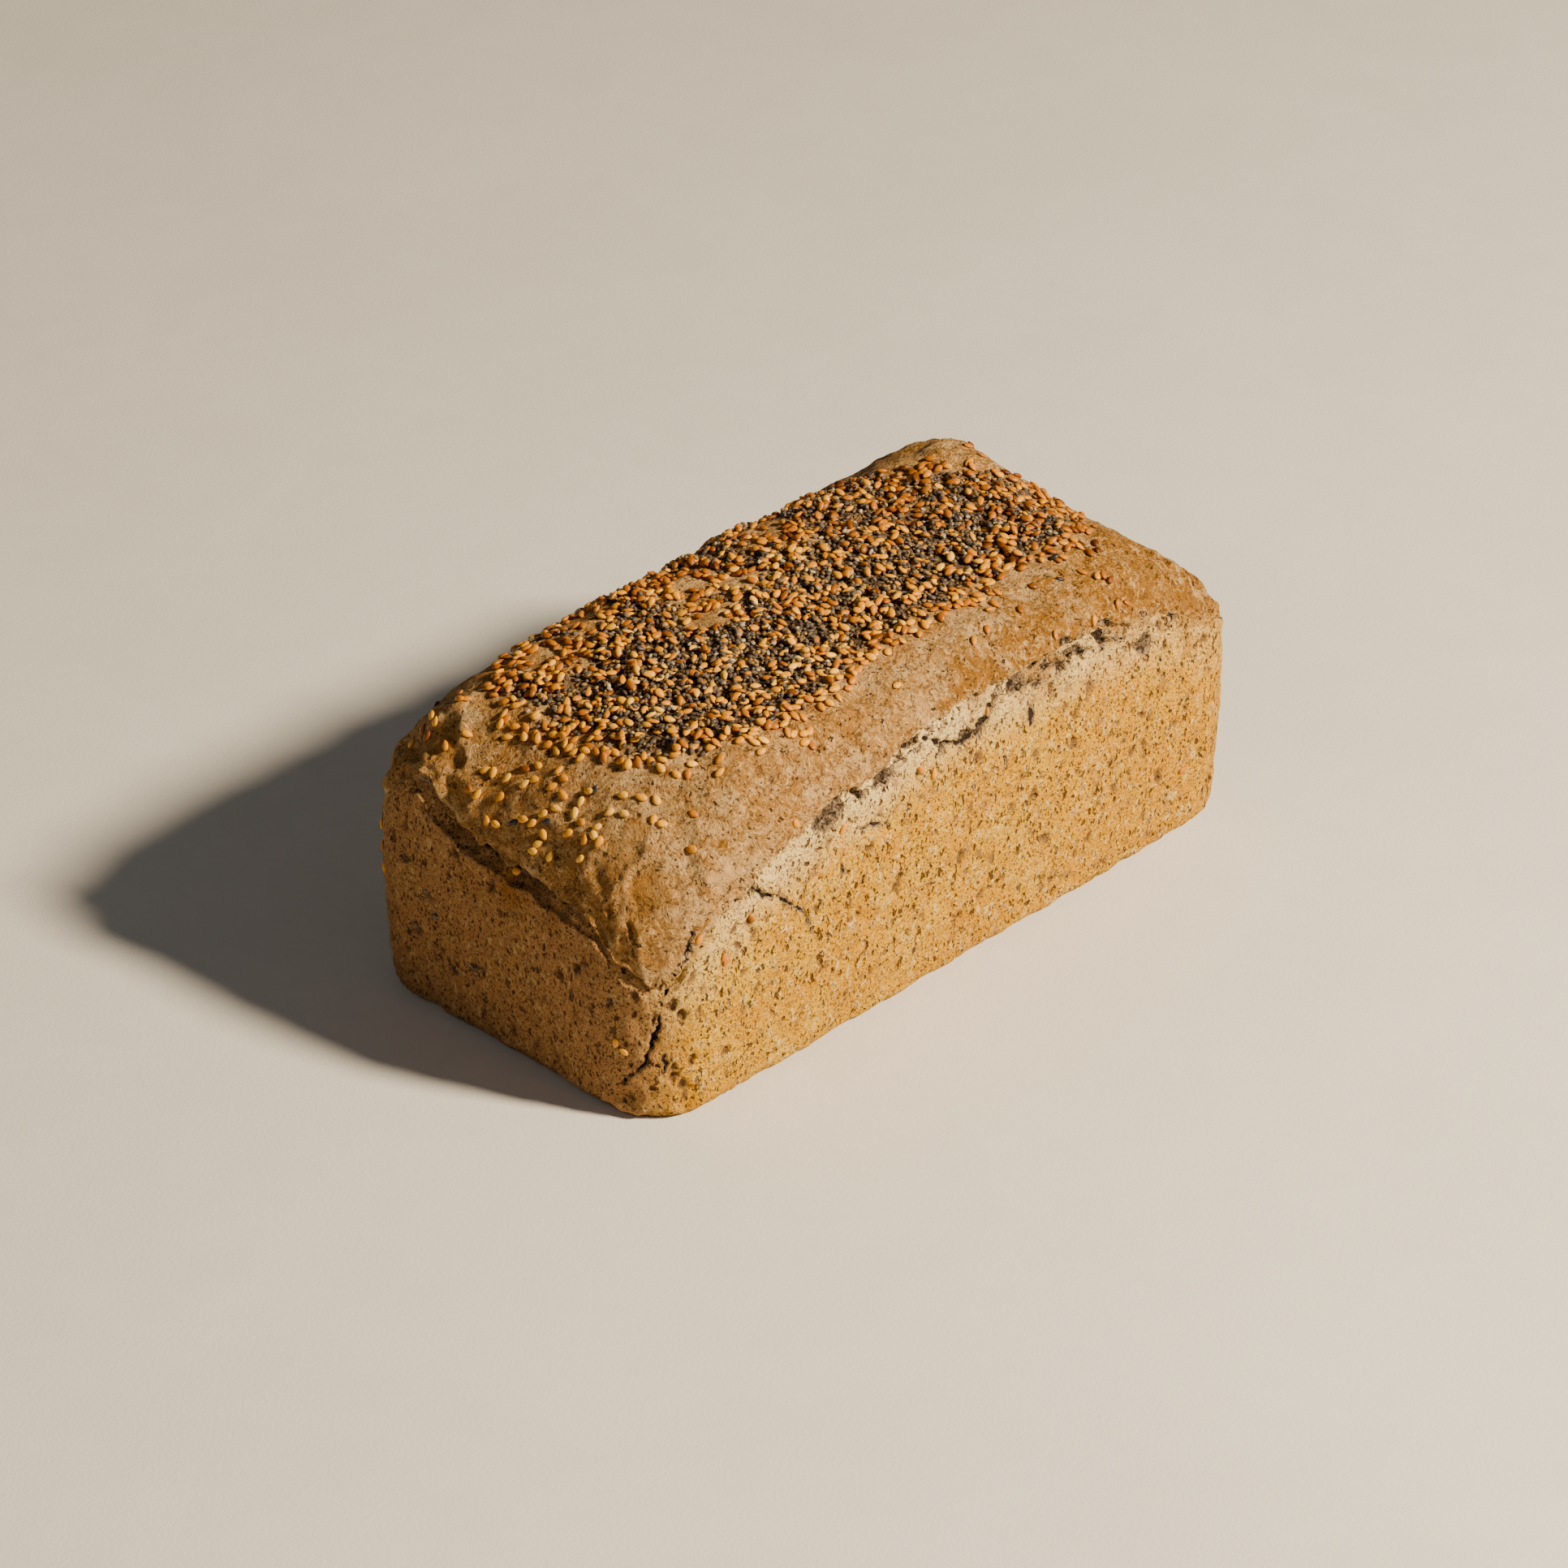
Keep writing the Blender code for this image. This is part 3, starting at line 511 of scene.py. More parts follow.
# Pores and specks: cells a metre, size in the cell, and share of the cells that hold one
CRUST_PORES = (430.0, 0.32, 0.4)
CRUST_SPECKS = (850.0, 0.45, 0.7)
CRUMB_PORES = ((200.0, 0.27, 0.58), (390.0, 0.36, 0.62), (760.0, 0.4, 0.8))
CRUMB_SPECKS = (1150.0, 0.42, 0.55)
# A pore strays from its cell by this share, in noise this much finer; the least pore's size, and
# its flat floor's, as shares of the full size
PORE_STRAY = 1.1
PORE_STRAY_SCALE = 1.9
PORE_LEAST = 0.4
PORE_FLAT = 0.45
# The crumb's pores are taller than wide by this stretch
CRUMB_STRETCH = (1.0, 1.0, 0.62)
# Floury threads: cells a metre, curl and width as shares of a cell, and scale of their breaks
THREAD_SCALE = 330.0
THREAD_CURL = 1.6
THREAD_WIDTH = 0.055
THREAD_BREAKS = 0.7
SEED_BED_SCALE = 720.0
# How far the crust's edge wanders in the colours, and where below the edge the crust begins
EDGE_WANDER_REACH = 0.006
CRUST_BEGINS = (0.0009, 0.0001)
LOAF_BUMP = 0.0022


def smooth_step(low, high, value):
    share = min(max((value - low) / (high - low), 0.0), 1.0)
    return share * share * (3.0 - 2.0 * share)


def smooth_steps(low, high, values):
    share = np.clip((values - low) / (high - low), 0.0, 1.0)
    return share * share * (3.0 - 2.0 * share)


def along(points, place):
    """Value at a place on the smooth curve through points, each given as (place, value)."""
    if place <= points[0][0]:
        return points[0][1]
    if place >= points[-1][0]:
        return points[-1][1]
    index = next(i for i, point in enumerate(points) if point[0] > place)
    before, start = points[max(index - 2, 0)], points[index - 1]
    end, after = points[index], points[min(index + 1, len(points) - 1)]
    gap = end[0] - start[0]
    leave = gap * (end[1] - before[1]) / (end[0] - before[0])
    arrive = gap * (after[1] - start[1]) / (after[0] - start[0])
    t = (place - start[0]) / gap
    rise = end[1] - start[1]
    bend = 3 * rise - 2 * leave - arrive
    twist = leave + arrive - 2 * rise
    return start[1] + leave * t + bend * t**2 + twist * t**3


def crowd(value):
    """Moves columns towards the edges, where the loaf turns most."""
    return value * (1.0 + EDGE_CROWDING - EDGE_CROWDING * value * value)


def crown_height(x, y, half_width):
    height = along(CROWN, x) - CROSS_FALL * ((y - CROWN_LEAN) / half_width) ** 2
    for swell_x, swell_y, reach_x, reach_y, rise in SWELLS:
        height += rise * math.exp(-(((x - swell_x) / reach_x) ** 2) - ((y - swell_y) / reach_y) ** 2)
    return height


def layers_at(place, layers):
    """Sum of layers of noise at one place of the plan, each given as (height, width)."""
    return sum(height * noise.noise(place.to_3d() / width) for height, width in layers)


Edge = namedtuple("Edge", "rim sill tear lip shoulder crumble")


class Form:
    """The loaf's form: where each point of its walls and dome lies, for the sizes that were set."""

    def __init__(self, sizes):
        self.half_length = sizes.length / 2
        self.half_width = sizes.width / 2
        self.corner_radius = sizes.corner_radius
        self.base_radius = sizes.base_radius
        self.tear_height = sizes.tear_height
        self.taper = sizes.taper
        self.belly = sizes.belly
        self.edges = {}

    def outline(self, u, v, grow):
        """Point of the rounded plan, grown outwards, for a point (u, v) on the edge of the unit square."""
        half_x, half_y = self.half_length + grow, self.half_width + grow
        radius = self.corner_radius + grow
        x, y = u * half_x, v * half_y
        core = Vector((
            min(max(x, radius - half_x), half_x - radius),
            min(max(y, radius - half_y), half_y - radius),
        ))
        return core + (Vector((x, y)) - core).normalized() * radius

    def by_side(self, x, y, profiles):
        """Blend of the four sides' profiles at (x, y), turning smoothly at the corners."""
        weights = (
            smooth_step(*LONG_SIDE_TURN, -y / self.half_width),
            smooth_step(*LONG_SIDE_TURN, y / self.half_width),
            smooth_step(*END_TURN, -x / self.half_length),
            smooth_step(*END_TURN, x / self.half_length),
        )
        values = (along(profile, place) for profile, place in zip(profiles, (x, x, y, y)))
        return sum(weight * value for weight, value in zip(weights, values)) / sum(weights)

    def edge(self, u, v):
        """The crust's edge on the side that (u, v) faces: its height, tear, lip, shoulder and crumble."""
        key = (round(u, 7), round(v, 7))
        if key not in self.edges:
            x, y = foot = self.outline(u, v, 0.0)
            rim, tear, lip, shoulder = (self.by_side(x, y, sides) for sides in (RIMS, TEARS, LIPS, SHOULDERS))
            tear *= max(1.0 + layers_at(foot, TEAR_VARIES), LEAST_TEAR)
            if y < 0.0:
                front = smooth_step(*LONG_SIDE_TURN, -y / self.half_width)
                front *= 1.0 - smooth_step(*END_TURN, -x / self.half_length)
                tear *= 1.0 - front * (1.0 - along(TEAR_OPEN, x))
            rim += layers_at(foot, (RIM_WAVES,))
            sill = rim - self.tear_height + layers_at(-foot, SILL_CRUMBLE)
            self.edges[key] = Edge(rim, sill, tear, lip, shoulder, layers_at(foot, RIM_CRUMBLE))
        return self.edges[key]

    def wall_point(self, u, v, row):
        """Place of a row of the wall, how far below the crust's edge it is, and how dark the tear is there,
        from torn crumb to painted shade.
        """
        edge = self.edge(u, v)
        push, hollow = 0.0, 0.0
        ledge = LEDGE * smooth_step(*LEDGED_TEAR, edge.tear)
        if row <= BASE_ROWS:
            turn = math.pi / 2 * row / BASE_ROWS
            height = self.base_radius * (1.0 - math.cos(turn))
            push = -self.base_radius * (1.0 - math.sin(turn))
        elif row <= BASE_ROWS + PLAIN_ROWS:
            share = (row - BASE_ROWS) / PLAIN_ROWS
            height = self.base_radius + (edge.sill - self.base_radius) * share
            over = along(TEAR_OVER, 0.0) * max(edge.lip, 0.0)
            push = (over + ledge) * smooth_step(LEDGE_STARTS, 1.0, share)
        else:
            place = (row - BASE_ROWS - PLAIN_ROWS) / TEAR_ROWS
            over = along(TEAR_OVER, place)
            height = edge.rim - along(TEAR_DROP, place) * (edge.rim - edge.sill)
            height += edge.crumble * smooth_step(*CRUMBLES_BELOW, place)
            push = over * edge.lip - along(TEAR_DEEP, place) * edge.tear
            if place < LEDGE_ENDS:
                push += (ledge - min(edge.lip, 0.0) * over) * (1.0 - smooth_step(0.0, LEDGE_ENDS, place))
            # How dark the tear is painted: torn crumb low down, painted shade under the lip
            hollow = along(TEAR_DARK, place) * smooth_step(0.0, DARK_TEAR, edge.tear)
        share = height / edge.rim
        swell = self.belly * math.sin(math.pi * min(share, 1.0))
        place = self.outline(u, v, push - self.taper * (1.0 - share) + swell)
        return Vector((place.x, place.y, height)), edge.rim + edge.crumble - height, hollow

    def dome_point(self, u, v):
        """Place of a point of the dome, and how far it is below the crust's edge, so negative."""
        reach = max(abs(u), abs(v))
        if reach < 1e-6:
            return Vector((0.0, 0.0, crown_height(0.0, 0.0, self.half_width))), -self.half_width
        edge = self.edge(u / reach, v / reach)
        share = max((reach - edge.shoulder) / (1.0 - edge.shoulder), 0.0)
        over = math.sin(math.pi / 2 * min(share, 1.0))
        if over > 0.0:
            reach = edge.shoulder + (1.0 - edge.shoulder) * over
        place = self.outline(u / max(abs(u), abs(v)), v / max(abs(u), abs(v)), edge.lip) * reach
        rise = crown_height(place.x, place.y, self.half_width) - edge.rim
        rise *= math.sqrt(max(1.0 - over**SHOULDER_POWER, 0.0))
        crumble = edge.crumble * smooth_step(*CRUMBLES_ABOVE, share)
        inwards = (1.0 - reach) * self.half_width
        return Vector((place.x, place.y, edge.rim + rise + crumble)), -inwards - rise


def loaf_blank():
    """A cube whose top and sides are cut into the loaf's columns and rows, its underside one face."""
    bm = bmesh.new()
    bmesh.ops.create_cube(bm, size=2.0)
    for axis, count in enumerate((COLUMNS_LONG, COLUMNS_WIDE, WALL_ROWS)):
        edges = [e for e in bm.edges if abs((e.verts[0].co - e.verts[1].co)[axis]) > 1e-4]
        bmesh.ops.subdivide_edges(bm, edges=edges, cuts=count - 1, use_grid_fill=True)
    under = [f for f in bm.faces if f.calc_center_median().z < -TOP_OF_CUBE]
    bmesh.ops.dissolve_faces(bm, faces=under)
    return bm


def shape_loaf(bm, form):
    """Moves the blank's points to the loaf's form, and notes how far each is below the crust's edge."""
    below = bm.verts.layers.float.new("below_rim")
    hollow = bm.verts.layers.float.new("hollow")
    for vert in bm.verts:
        u, v = crowd(vert.co.x), crowd(vert.co.y)
        if vert.co.z > TOP_OF_CUBE:
            vert.co, vert[below] = form.dome_point(u, v)
        else:
            row = round((vert.co.z + 1.0) / 2.0 * WALL_ROWS)
            vert.co, vert[below], vert[hollow] = form.wall_point(u, v, row)
    bm.normal_update()


def noise_at(places, width, offset=0.0):
    """Smooth noise from -1 to 1 at each place, with swells about one width apart."""
    return np.array([noise.noise(place) for place in (places / width + offset).tolist()])


def layered_noise(places, layers):
    return sum(height * noise_at(places, width) for height, width in layers)


def jagged(places):
    """The places, each strayed a little, so that what is measured from them has a torn edge."""
    strayed = places.copy()
    for stray, width in JAGGED:
        strayed += stray * np.stack([noise_at(places, width, offset) for offset in (3.1, 7.7, 12.9)], axis=1)
    return strayed


def line_inside(places, line, margin=0.0):
    """How far inside a line's half width each place is, from 0 at its edge to 1 at its middle."""
    points = np.array(line.points)
    nearest = np.full(len(places), np.inf)
    share = np.zeros(len(places))
    for index, (start, end) in enumerate(zip(points[:-1], points[1:])):
        step = end - start
        t = np.clip((places - start) @ step / (step @ step), 0.0, 1.0)
        gap = np.linalg.norm(places - start - t[:, None] * step, axis=1)
        closer = gap < nearest
        nearest[closer] = gap[closer]
        share[closer] = (index + t[closer]) / (len(points) - 1)
    width = line.half_width * np.maximum(np.sin(np.pi * share), LINE_TIP) + margin
    return np.clip(1.0 - nearest / width, 0.0, 1.0)


def spot_inside(places, spot, margin=0.0):
    """How far inside a spot of the wall each place is, from 0 at its edge to 1 at its middle."""
    away = places - np.array((spot.x, spot.y, spot.z))
    across = np.hypot(away[:, 0], away[:, 1]) / (spot.half_width + margin)
    up = away[:, 2] / (spot.half_height + margin)
    return np.clip(1.0 - across**2 - up**2, 0.0, 1.0)


def onto(tree, line):
    """The line with its points moved onto the loaf, and one more between each two."""
    points = [Vector(point) for point in line.points]
    finer = [points[0]]
    for start, end in zip(points[:-1], points[1:]):
        finer += [start.lerp(end, 0.5), end]
    return line._replace(points=tuple(tuple(tree.find_nearest(point)[0]) for point in finer))


def torn_band(places, below, half_width):
    """How far each place is inside the long side's crumbling band, from 0 to 1."""
    drop = np.array([along(BAND_DROP, x) for x in places[:, 0]])
    strength = np.array([along(BAND_TORN, x) for x in places[:, 0]])
    to_front = smooth_steps(*BAND_TURN, -places[:, 1] / half_width)
    return to_front * strength * np.exp(-(((below - drop) / BAND_HALF_WIDTH) ** 2))


def wall_pores(places, below):
    """Seeded random pores on the walls, clear of the base and of the crust's edge."""
    draw = random.Random(RANDOM_SEED)
    on_wall = np.nonzero((below > PORE_CLEAR_OF_RIM) & (places[:, 2] > PORE_CLEAR_OF_BASE))[0]
    pores = []
    for _ in range(PORE_COUNT):
        x, y, z = places[on_wall[draw.randrange(len(on_wall))]]
        half_width = draw.uniform(*PORE_SIZES) * draw.uniform(*PORE_SHRINKS)
        half_height = half_width * draw.uniform(*PORE_STRETCH)
        pores.append(Spot(x, y, z, half_width, half_height, half_width * PORE_DEPTH))
    return pores


def vert_places(bm):
    return np.array([vert.co for vert in bm.verts])


def vert_layer(bm, name):
    layer = bm.verts.layers.float[name]
    return np.array([vert[layer] for vert in bm.verts])


def refine_near(bm, cracks, spots, half_width):
    """Halves the mesh's faces round the cracks, pockets and pores, so that their edges show."""
    places = vert_places(bm)
    below = vert_layer(bm, "below_rim")
    near = torn_band(places, below, half_width) > BAND_FINER
    near |= (gathered(places, WRINKLED_PLACES) > WRINKLED_FINELY) & (below < 0.0)
    for crack in cracks:
        near |= line_inside(places, crack, FINE_MARGIN) > 0.0
    for spot in spots:
        near |= spot_inside(places, spot, FINE_MARGIN) > 0.0
    bm.verts.index_update()
    edges = [e for e in bm.edges if near[e.verts[0].index] and near[e.verts[1].index]]
    bmesh.ops.subdivide_edges(bm, edges=edges, cuts=1, use_grid_fill=True)
    bm.normal_update()


def gathered(places, spots):
    """Strength at each place of soft spots, given as (x, y, reach, strength): the strongest there."""
    found = np.zeros(len(places))
    for x, y, reach, strength in spots:
        gap = np.hypot(places[:, 0] - x, places[:, 1] - y) / reach
        found = np.maximum(found, strength * np.exp(-gap * gap))
    return found


def toasted(places, below):
    """How brown the loaf is baked at each place, from 0 to 1."""
    found = np.zeros(len(places))
    for x, y, z, reach, strength in TOAST:
        gap = np.linalg.norm(places - np.array((x, y, z)), axis=1) / reach
        found = np.maximum(found, strength * np.exp(-gap * gap))
    edge = np.array([along(BROWN_EDGE, x) for x in places[:, 0]])
    return np.maximum(found, edge * np.exp(-(((below + BROWN_EDGE_PLACE) / BROWN_EDGE_WIDTH) ** 2)))


def painted_side_shade(places, form):
    """How much browner than the front each place is, as painted shade: the short ends and the hidden long
    side.
    """
    ends = smooth_steps(*SHADED_ENDS, np.abs(places[:, 0]) / form.half_length)
    return np.maximum(ends, SHADED_BACK * smooth_steps(*LONG_SIDE_TURN, places[:, 1] / form.half_width))


def pale_and_baked(places, below, form):
    """How pale the crumb is under the crust's edge, and how orange it is baked elsewhere."""
    to_front = smooth_steps(*LONG_SIDE_TURN, -places[:, 1] / form.half_width)
    to_back = smooth_steps(*LONG_SIDE_TURN, places[:, 1] / form.half_width)
    near = smooth_steps(*NEAR_END, -places[:, 0] / form.half_length)
    front = np.array([along(PALE_FRONT, x) for x in places[:, 0]])
    side = to_front * front + to_back * PALE_BACK + (1.0 - to_front - to_back) * PALE_ENDS
    pale = smooth_steps(PALE_REACH[1], PALE_REACH[0], below) * side * (1.0 - LESS_PALE_NEAR * near)
    baked = np.array([along(BAKED_FRONT, x) for x in places[:, 0]])
    low = to_front * smooth_steps(*BAKED_FOOT, places[:, 2])
    baked = np.clip(baked + MORE_BAKED_FOOT * low, 0.0, 1.0)
    return pale, baked


def patch_depth(x, y):
    """How far inside the seeded patch a place is, seen from above, and negative outside it."""
    stray, width = PATCH_RAGGED
    ragged = stray * noise.noise(Vector((x, y, 0.0)) / width)
    inside = min(y - along(PATCH_FRONT, x), along(PATCH_BACK, x) - y, x - PATCH_ENDS[0], PATCH_ENDS[1] - x)
    for bare_x, bare_y, reach in BARE_PLACES:
        inside = min(inside, math.hypot(x - bare_x, y - bare_y) - reach)
    return inside + ragged


def dark_share(x, y):
    """Share of small dark seeds at a place, from 0 to 1."""
    gathered_here = max(
        math.exp(-((x - at_x) ** 2 + (y - at_y) ** 2) / reach**2) for at_x, at_y, reach in DARK_PLACES)
    return smooth_step(*DARK_BEGINS, patch_depth(x, y)) * (DARK_LEAST + (1.0 - DARK_LEAST) * gathered_here)


def band_cavities(strayed, below, half_width):
    """How deep each place is in a cavity of the crumbling band, from 0 to 1."""
    band = torn_band(strayed, below, half_width)
    found = layered_noise(strayed, BAND_CAVITIES) + BAND_MORE_CAVITIES * band
    return smooth_steps(*BAND_CAVITY_EDGE, found) * smooth_steps(*BAND_EDGE, band)


def sunk(depth, inside, floor=1.0):
    """How deep a crack, pocket or pore is, with steep sides and a floor that fills the share of it."""
    return depth * np.clip(floor * inside, 0.0, 1.0) ** STEEP_SIDES


def relief(places, normals, below, hollow, cracks, creases, pores, half_width):
    """The baked surface: its new places, and how torn, pored and wrinkled it is at each."""
    strayed = jagged(places)
    push, folded, pored = np.zeros((3, len(places)))
    torn = hollow.copy()
    for line in cracks:
        inside = line_inside(strayed, line)
        push = np.maximum(push, sunk(line.depth, inside))
        torn = np.maximum(torn, smooth_steps(0.0, 0.45, inside))
    for spot in POCKETS:
        inside = spot_inside(strayed, spot)
        push = np.maximum(push, sunk(spot.depth, inside, POCKET_FLOOR))
        torn = np.maximum(torn, POCKET_TORN * smooth_steps(0.0, 0.30, inside))
    for spot in DENTS:
        push = np.maximum(push, spot.depth * smooth_steps(0.0, 1.0, spot_inside(strayed, spot)))
    cavities = band_cavities(strayed, below, half_width)
    push = np.maximum(push, BAND_DEPTH * cavities)
    torn = np.maximum(torn, CAVITY_TORN * cavities)
    for line in creases:
        inside = smooth_steps(0.0, 1.0, line_inside(strayed, line))
        push = np.maximum(push, line.depth * inside)
        folded = np.maximum(folded, CREASE_FOLD * inside)
    for spot in pores:
        inside = spot_inside(strayed, spot)
        push = np.maximum(push, sunk(spot.depth, inside, PORE_FLOOR))
        pored = np.maximum(pored, smooth_steps(0.0, 0.5, inside))
    depth, width = WRINKLES
    ridges = np.abs(noise_at(strayed * np.array(WRINKLE_STRETCH), width))
    wrinkled = gathered(places, WRINKLED_PLACES) + WRINKLES_ELSEWHERE
    valleys = wrinkled * smooth_steps(*WRINKLE_HOLLOW, ridges)
    folded = np.maximum(folded, VALLEY_FOLD * valleys)
    folded -= WRINKLE_PALE * wrinkled * smooth_steps(WRINKLE_RIDGE, 0.0, ridges)
    edge, width, strength = PALE_LIP
    lip = strength * np.exp(-(((below + edge) / width) ** 2)) * smooth_steps(*PALE_LIP_REACH, places[:, 0])
    folded -= lip * smooth_steps(*PALE_LIP_BROKEN, noise_at(places, PALE_LIP_LENGTH))
    crust = layered_noise(places, DOME_LUMPS + CRUST_RELIEF) - depth * valleys
    wall = layered_noise(places, WALL_LUMPS + CRUMB_RELIEF)
    foot, layers = RAGGED_FOOT
    cut = np.clip(layered_noise(places, layers) + RAGGED_FOOT_CUT, 0.0, None)
    wall -= smooth_steps(foot, 0.0, places[:, 2]) * cut
    strip = TEAR_STRIP_ROUGH * smooth_steps(*TEAR_STRIP, below) * smooth_steps(0.0, 0.001, below)
    rough = np.maximum(torn, strip) * layered_noise(places, TORN_RELIEF)
    on_crust = smooth_steps(*CRUST_TURN, below)
    lift = on_crust * crust + (1.0 - on_crust) * (wall + rough) - push
    lift *= smooth_steps(0.0, BASE_FADE, places[:, 2])
    return places + normals * lift[:, None], torn, pored, on_crust * folded


def mesh_attribute(mesh, name, values):
    attribute = mesh.attributes.new(name, "FLOAT", "POINT")
    attribute.data.foreach_set("value", np.asarray(values, np.float32))


def finish_mesh(mesh):
    """Shades the mesh smooth and brings it up to date."""
    mesh.polygons.foreach_set("use_smooth", np.ones(len(mesh.polygons), bool))
    mesh.update()


def build_loaf_mesh(form):
    """The loaf's baked surface as a mesh, with the attributes that its look reads."""
    bm = loaf_blank()
    shape_loaf(bm, form)
    tree = BVHTree.FromBMesh(bm)
    cracks = [onto(tree, crack) for crack in CRACKS]
    creases = [onto(tree, crease) for crease in CREASES]
    pores = wall_pores(vert_places(bm), vert_layer(bm, "below_rim"))
    refine_near(bm, cracks, list(POCKETS) + pores, form.half_width)
    places = vert_places(bm)
    normals = np.array([vert.normal for vert in bm.verts])
    below, hollow = vert_layer(bm, "below_rim"), vert_layer(bm, "hollow")
    places, torn, pored, wrinkled = relief(
        places, normals, below, hollow, cracks, creases, pores, form.half_width)
    mesh = bpy.data.meshes.new("loaf_surface")
    bm.to_mesh(mesh)
    bm.free()
    mesh.vertices.foreach_set("co", places.astype(np.float32).ravel())
    pale, baked = pale_and_baked(places, below, form)
    attributes = {
        # torn carries the tear's painted shade as well as its torn crumb
        "torn": torn, "pored": pored, "wrinkled": wrinkled, "pale": pale, "baked": baked,
        # end carries painted shade: browner short ends and hidden long side
        "end": painted_side_shade(places, form),
        "toast": toasted(places, below),
        "seeded": [dark_share(x, y) if z > LOWEST_SEEDS else 0.0 for x, y, z in places.tolist()],
    }
    for name, values in attributes.items():
        mesh_attribute(mesh, name, values)
    finish_mesh(mesh)
    return mesh


class Heap:
    """Heights of the crust and of the seeds that lie on it, in small square cells seen from above."""

    def __init__(self, mesh, form):
        self.tree = BVHTree.FromPolygons([v.co for v in mesh.vertices], [p.vertices for p in mesh.polygons])
        self.corner = Vector((-form.half_length - HEAP_MARGIN, -form.half_width - HEAP_MARGIN))
        counts = [round(-2.0 * side / CELL) for side in self.corner]
        self.crust = np.full(counts, -1.0)
        down = Vector((0.0, 0.0, -1.0))
        for i in range(counts[0]):
            for j in range(counts[1]):
                start = Vector((self.corner.x + (i + 0.5) * CELL, self.corner.y + (j + 0.5) * CELL, 0.2))
                place = self.tree.ray_cast(start, down)[0]
                if place is not None:
                    self.crust[i, j] = place.z
        self.top = self.crust.copy()
        lengthwise, across = (np.linspace(-0.9, 0.9, count) for count in SEED_SAMPLES)
        samples = [(s, t) for s in lengthwise for t in across]
        self.samples = np.array([(s, t) for s, t in samples if s * s + t * t < 0.95])

    def drop(self, x, y, turn, size, most_heap):
        """Lets a seed come to rest at (x, y), turned about the vertical, unless it would lie too high.
        Gives its matrix, or None."""
        half_length, half_width, half_thickness = size[0] / 2, size[1] / 2, size[2] / 2
        s = self.samples[:, 0] * half_length
        t = self.samples[:, 1] * half_width
        dx = s * math.cos(turn) - t * math.sin(turn)
        dy = s * math.sin(turn) + t * math.cos(turn)
        i = ((x + dx - self.corner.x) / CELL).astype(int)
        j = ((y + dy - self.corner.y) / CELL).astype(int)
        if i.min() < 0 or j.min() < 0 or i.max() >= self.top.shape[0] or j.max() >= self.top.shape[1]:
            return None
        heights, crust = self.top[i, j], self.crust[i, j]
        if crust.min() < 0.0:
            return None
        own_slope = np.array((crust @ s / (s @ s), crust @ t / (t @ t)))
        slope = np.array((heights @ s / (s @ s), heights @ t / (t @ t)))
        slope = own_slope + np.clip(slope - own_slope, -SEED_MOST_SLOPE, SEED_MOST_SLOPE)
        flat = heights - s * slope[0] - t * slope[1]
        above = (heights - crust).mean()
        if above > most_heap or crust.max() - crust.min() > SEED_MOST_DROP:
            return None
        sink = SINK_IN_CRUST if above < ON_BARE_CRUST else SINK_IN_HEAP
        propped = (1.0 - sink) * max(flat.max() - flat.mean(), 0.0) * PROPPED_UP
        rest = flat.mean() + propped + half_thickness * (1.0 - sink)
        lengthwise = Vector((math.cos(turn), math.sin(turn), slope[0])).normalized()
        across = Vector((-math.sin(turn), math.cos(turn), slope[1]))
        normal = lengthwise.cross(across).normalized()
        across = normal.cross(lengthwise)
        dome = np.sqrt(np.clip(1.0 - self.samples[:, 0] ** 2 - self.samples[:, 1] ** 2, 0.0, 1.0))
        upper = rest + s * slope[0] + t * slope[1] + half_thickness * dome
        np.maximum.at(self.top, (i, j), upper)
        matrix = Matrix((lengthwise * size[0], across * size[1], normal * size[2])).transposed().to_4x4()
        matrix.translation = (x, y, rest)
        return matrix


def seed_shape(kind):
    """One seed of unit length, width and thickness: a flattened drop, as arrays of points and faces.
    They are put in order, as the sphere's own order differs from run to run."""
    bm = bmesh.new()
    bmesh.ops.create_uvsphere(bm, u_segments=kind.spokes, v_segments=kind.rings, radius=0.5)
    bmesh.ops.rotate(bm, verts=bm.verts, matrix=Matrix.Rotation(math.pi / 2, 3, "Y"))
    for vert in bm.verts:
        place = vert.co.x + 0.5
        vert.co.y *= 1.0 - kind.tip * place**3
        vert.co.z *= 1.0 - TIP_THINS * kind.tip * place**3
    points = vert_places(bm)
    order = np.lexsort(points.round(SEED_ROUNDING).T)
    rank = np.argsort(order).tolist()
    faces = sorted([rank[vert.index] for vert in face.verts] for face in bm.faces)
    bm.free()
    return points[order], faces


def seeds_mesh(name, kind, matrices, tones):
    """All seeds of one kind as one mesh, each with its own tone and the place along it."""
    points, faces = seed_shape(kind)
    placed = np.array([[list(row) for row in matrix] for matrix in matrices])
    corners = np.einsum("nij,pj->npi", placed[:, :3, :3], points) + placed[:, None, :3, 3]
    mesh = bpy.data.meshes.new(name)
    every_face = [[v + len(points) * n for v in face] for n in range(len(matrices)) for face in faces]
    mesh.from_pydata(corners.reshape(-1, 3).tolist(), [], every_face)
    mesh_attribute(mesh, "tone", np.repeat(tones, len(points)))
    mesh_attribute(mesh, "tipward", np.tile(points[:, 0] + 0.5, len(matrices)))
    finish_mesh(mesh)
    return mesh


def drawn_size(draw, kind):
    return (draw.uniform(*kind.lengths), draw.uniform(*kind.widths), draw.uniform(*kind.thicknesses))


def sesame_tone(draw, x, y):
    """How toasted a sesame seed is: palest on the near slope, darkest towards the far end and the back."""
    place = SESAME_TONE + TONE_FAR * smooth_step(-0.03, 0.09, x) + TONE_BACK * smooth_step(0.0, 0.035, y)
    place += TONE_BORDER * smooth_step(0.006, 0.001, patch_depth(x, y)) * smooth_step(-0.06, 0.0, x)
    if x < PATCH_ENDS[0]:
        place -= TONE_SLOPE
    return min(max(draw.gauss(place, TONE_SPREAD), 0.0), 1.0)


